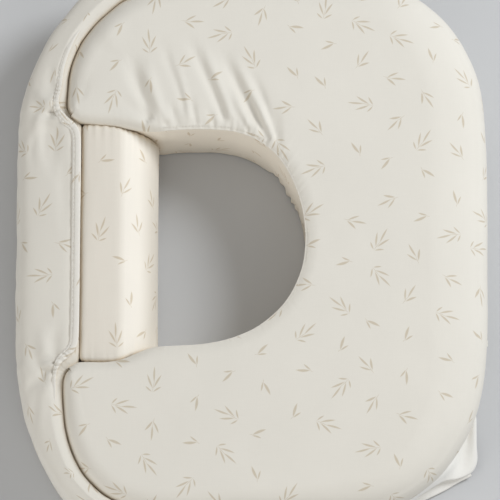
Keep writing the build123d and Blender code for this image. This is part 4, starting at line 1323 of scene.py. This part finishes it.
def add_light(name, location, size, power, colour):
    """a disc light aimed just above the middle of the floor"""
    light = bpy.data.lights.new(name, "AREA")
    light.shape = "DISK"
    light.size = size
    light.energy = power
    light.color = colour
    lamp = bpy.data.objects.new(name, light)
    scene.collection.objects.link(lamp)
    lamp.location = location
    aim = Vector((0, 0, 0.05)) - Vector(location)
    lamp.rotation_euler = aim.to_track_quat("-Z", "Y").to_euler()


add_light("key", (1.95, 1.15, 2.1), size=1.2, power=56.0, colour=(0.962, 0.984, 1.0))
add_light("fill", (-2.2, -1.7, 1.0), size=1.8, power=20.0, colour=(1.0, 0.98, 0.94))
add_light("front", (0.5, -2.7, 1.7), size=2.0, power=13.0, colour=(1.0, 0.985, 0.955))

CAMERA_TARGET = Vector((-0.001, 0.0115, 0.0))
CAMERA_ELEVATION = math.radians(78.0)
CAMERA_DISTANCE = 4.0
lens = bpy.data.cameras.new("camera")
lens.lens = 255.57
lens.sensor_width = 36.0
lens.clip_end = 50
camera = bpy.data.objects.new("camera", lens)
scene.collection.objects.link(camera)
toward_camera = Vector((0, -math.cos(CAMERA_ELEVATION), math.sin(CAMERA_ELEVATION)))
camera.location = CAMERA_TARGET + toward_camera * CAMERA_DISTANCE
camera.rotation_euler = (-toward_camera).to_track_quat("-Z", "Y").to_euler()
scene.camera = camera
scene.view_settings.view_transform = "Standard"
scene.view_settings.look = "None"

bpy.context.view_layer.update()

# ------------------------------------------------------------------ normals
TURNED_PIECES = (
    "cushion_cover", "cushion_base_panel", "opening_wall", "opening_pipe", "opening_thread",
    "side_thread", "wrap_band", "hem_binding", "hem_thread", "lumbar_roll", "roll_seam_far",
    "roll_seam_near", "waist_strap_soft", "strap_tail", "buckle_tab_soft", "strap_anchor_patch",
    "anchor_thread")


def face_outward(obj):
    """flip a piece whose faces mostly look the wrong way"""
    polygons = obj.data.polygons
    centres = np.array([face.center[:] for face in polygons])
    normals = np.array([face.normal[:] for face in polygons])
    areas = np.array([face.area for face in polygons])
    if obj.name == "cushion_base_panel":
        facing = -normals[:, 2]
    elif obj.name == "opening_wall":
        # this one looks into the opening
        middle = centres[:, :2].mean(axis=0)
        facing = ((middle - centres[:, :2]) * normals[:, :2]).sum(1)
    else:
        facing = (centres * normals).sum(1)
    if (facing * areas).sum() < 0:
        obj.data.flip_normals()


for piece in scene.objects:
    if piece.type == "MESH" and piece.name in TURNED_PIECES:
        face_outward(piece)
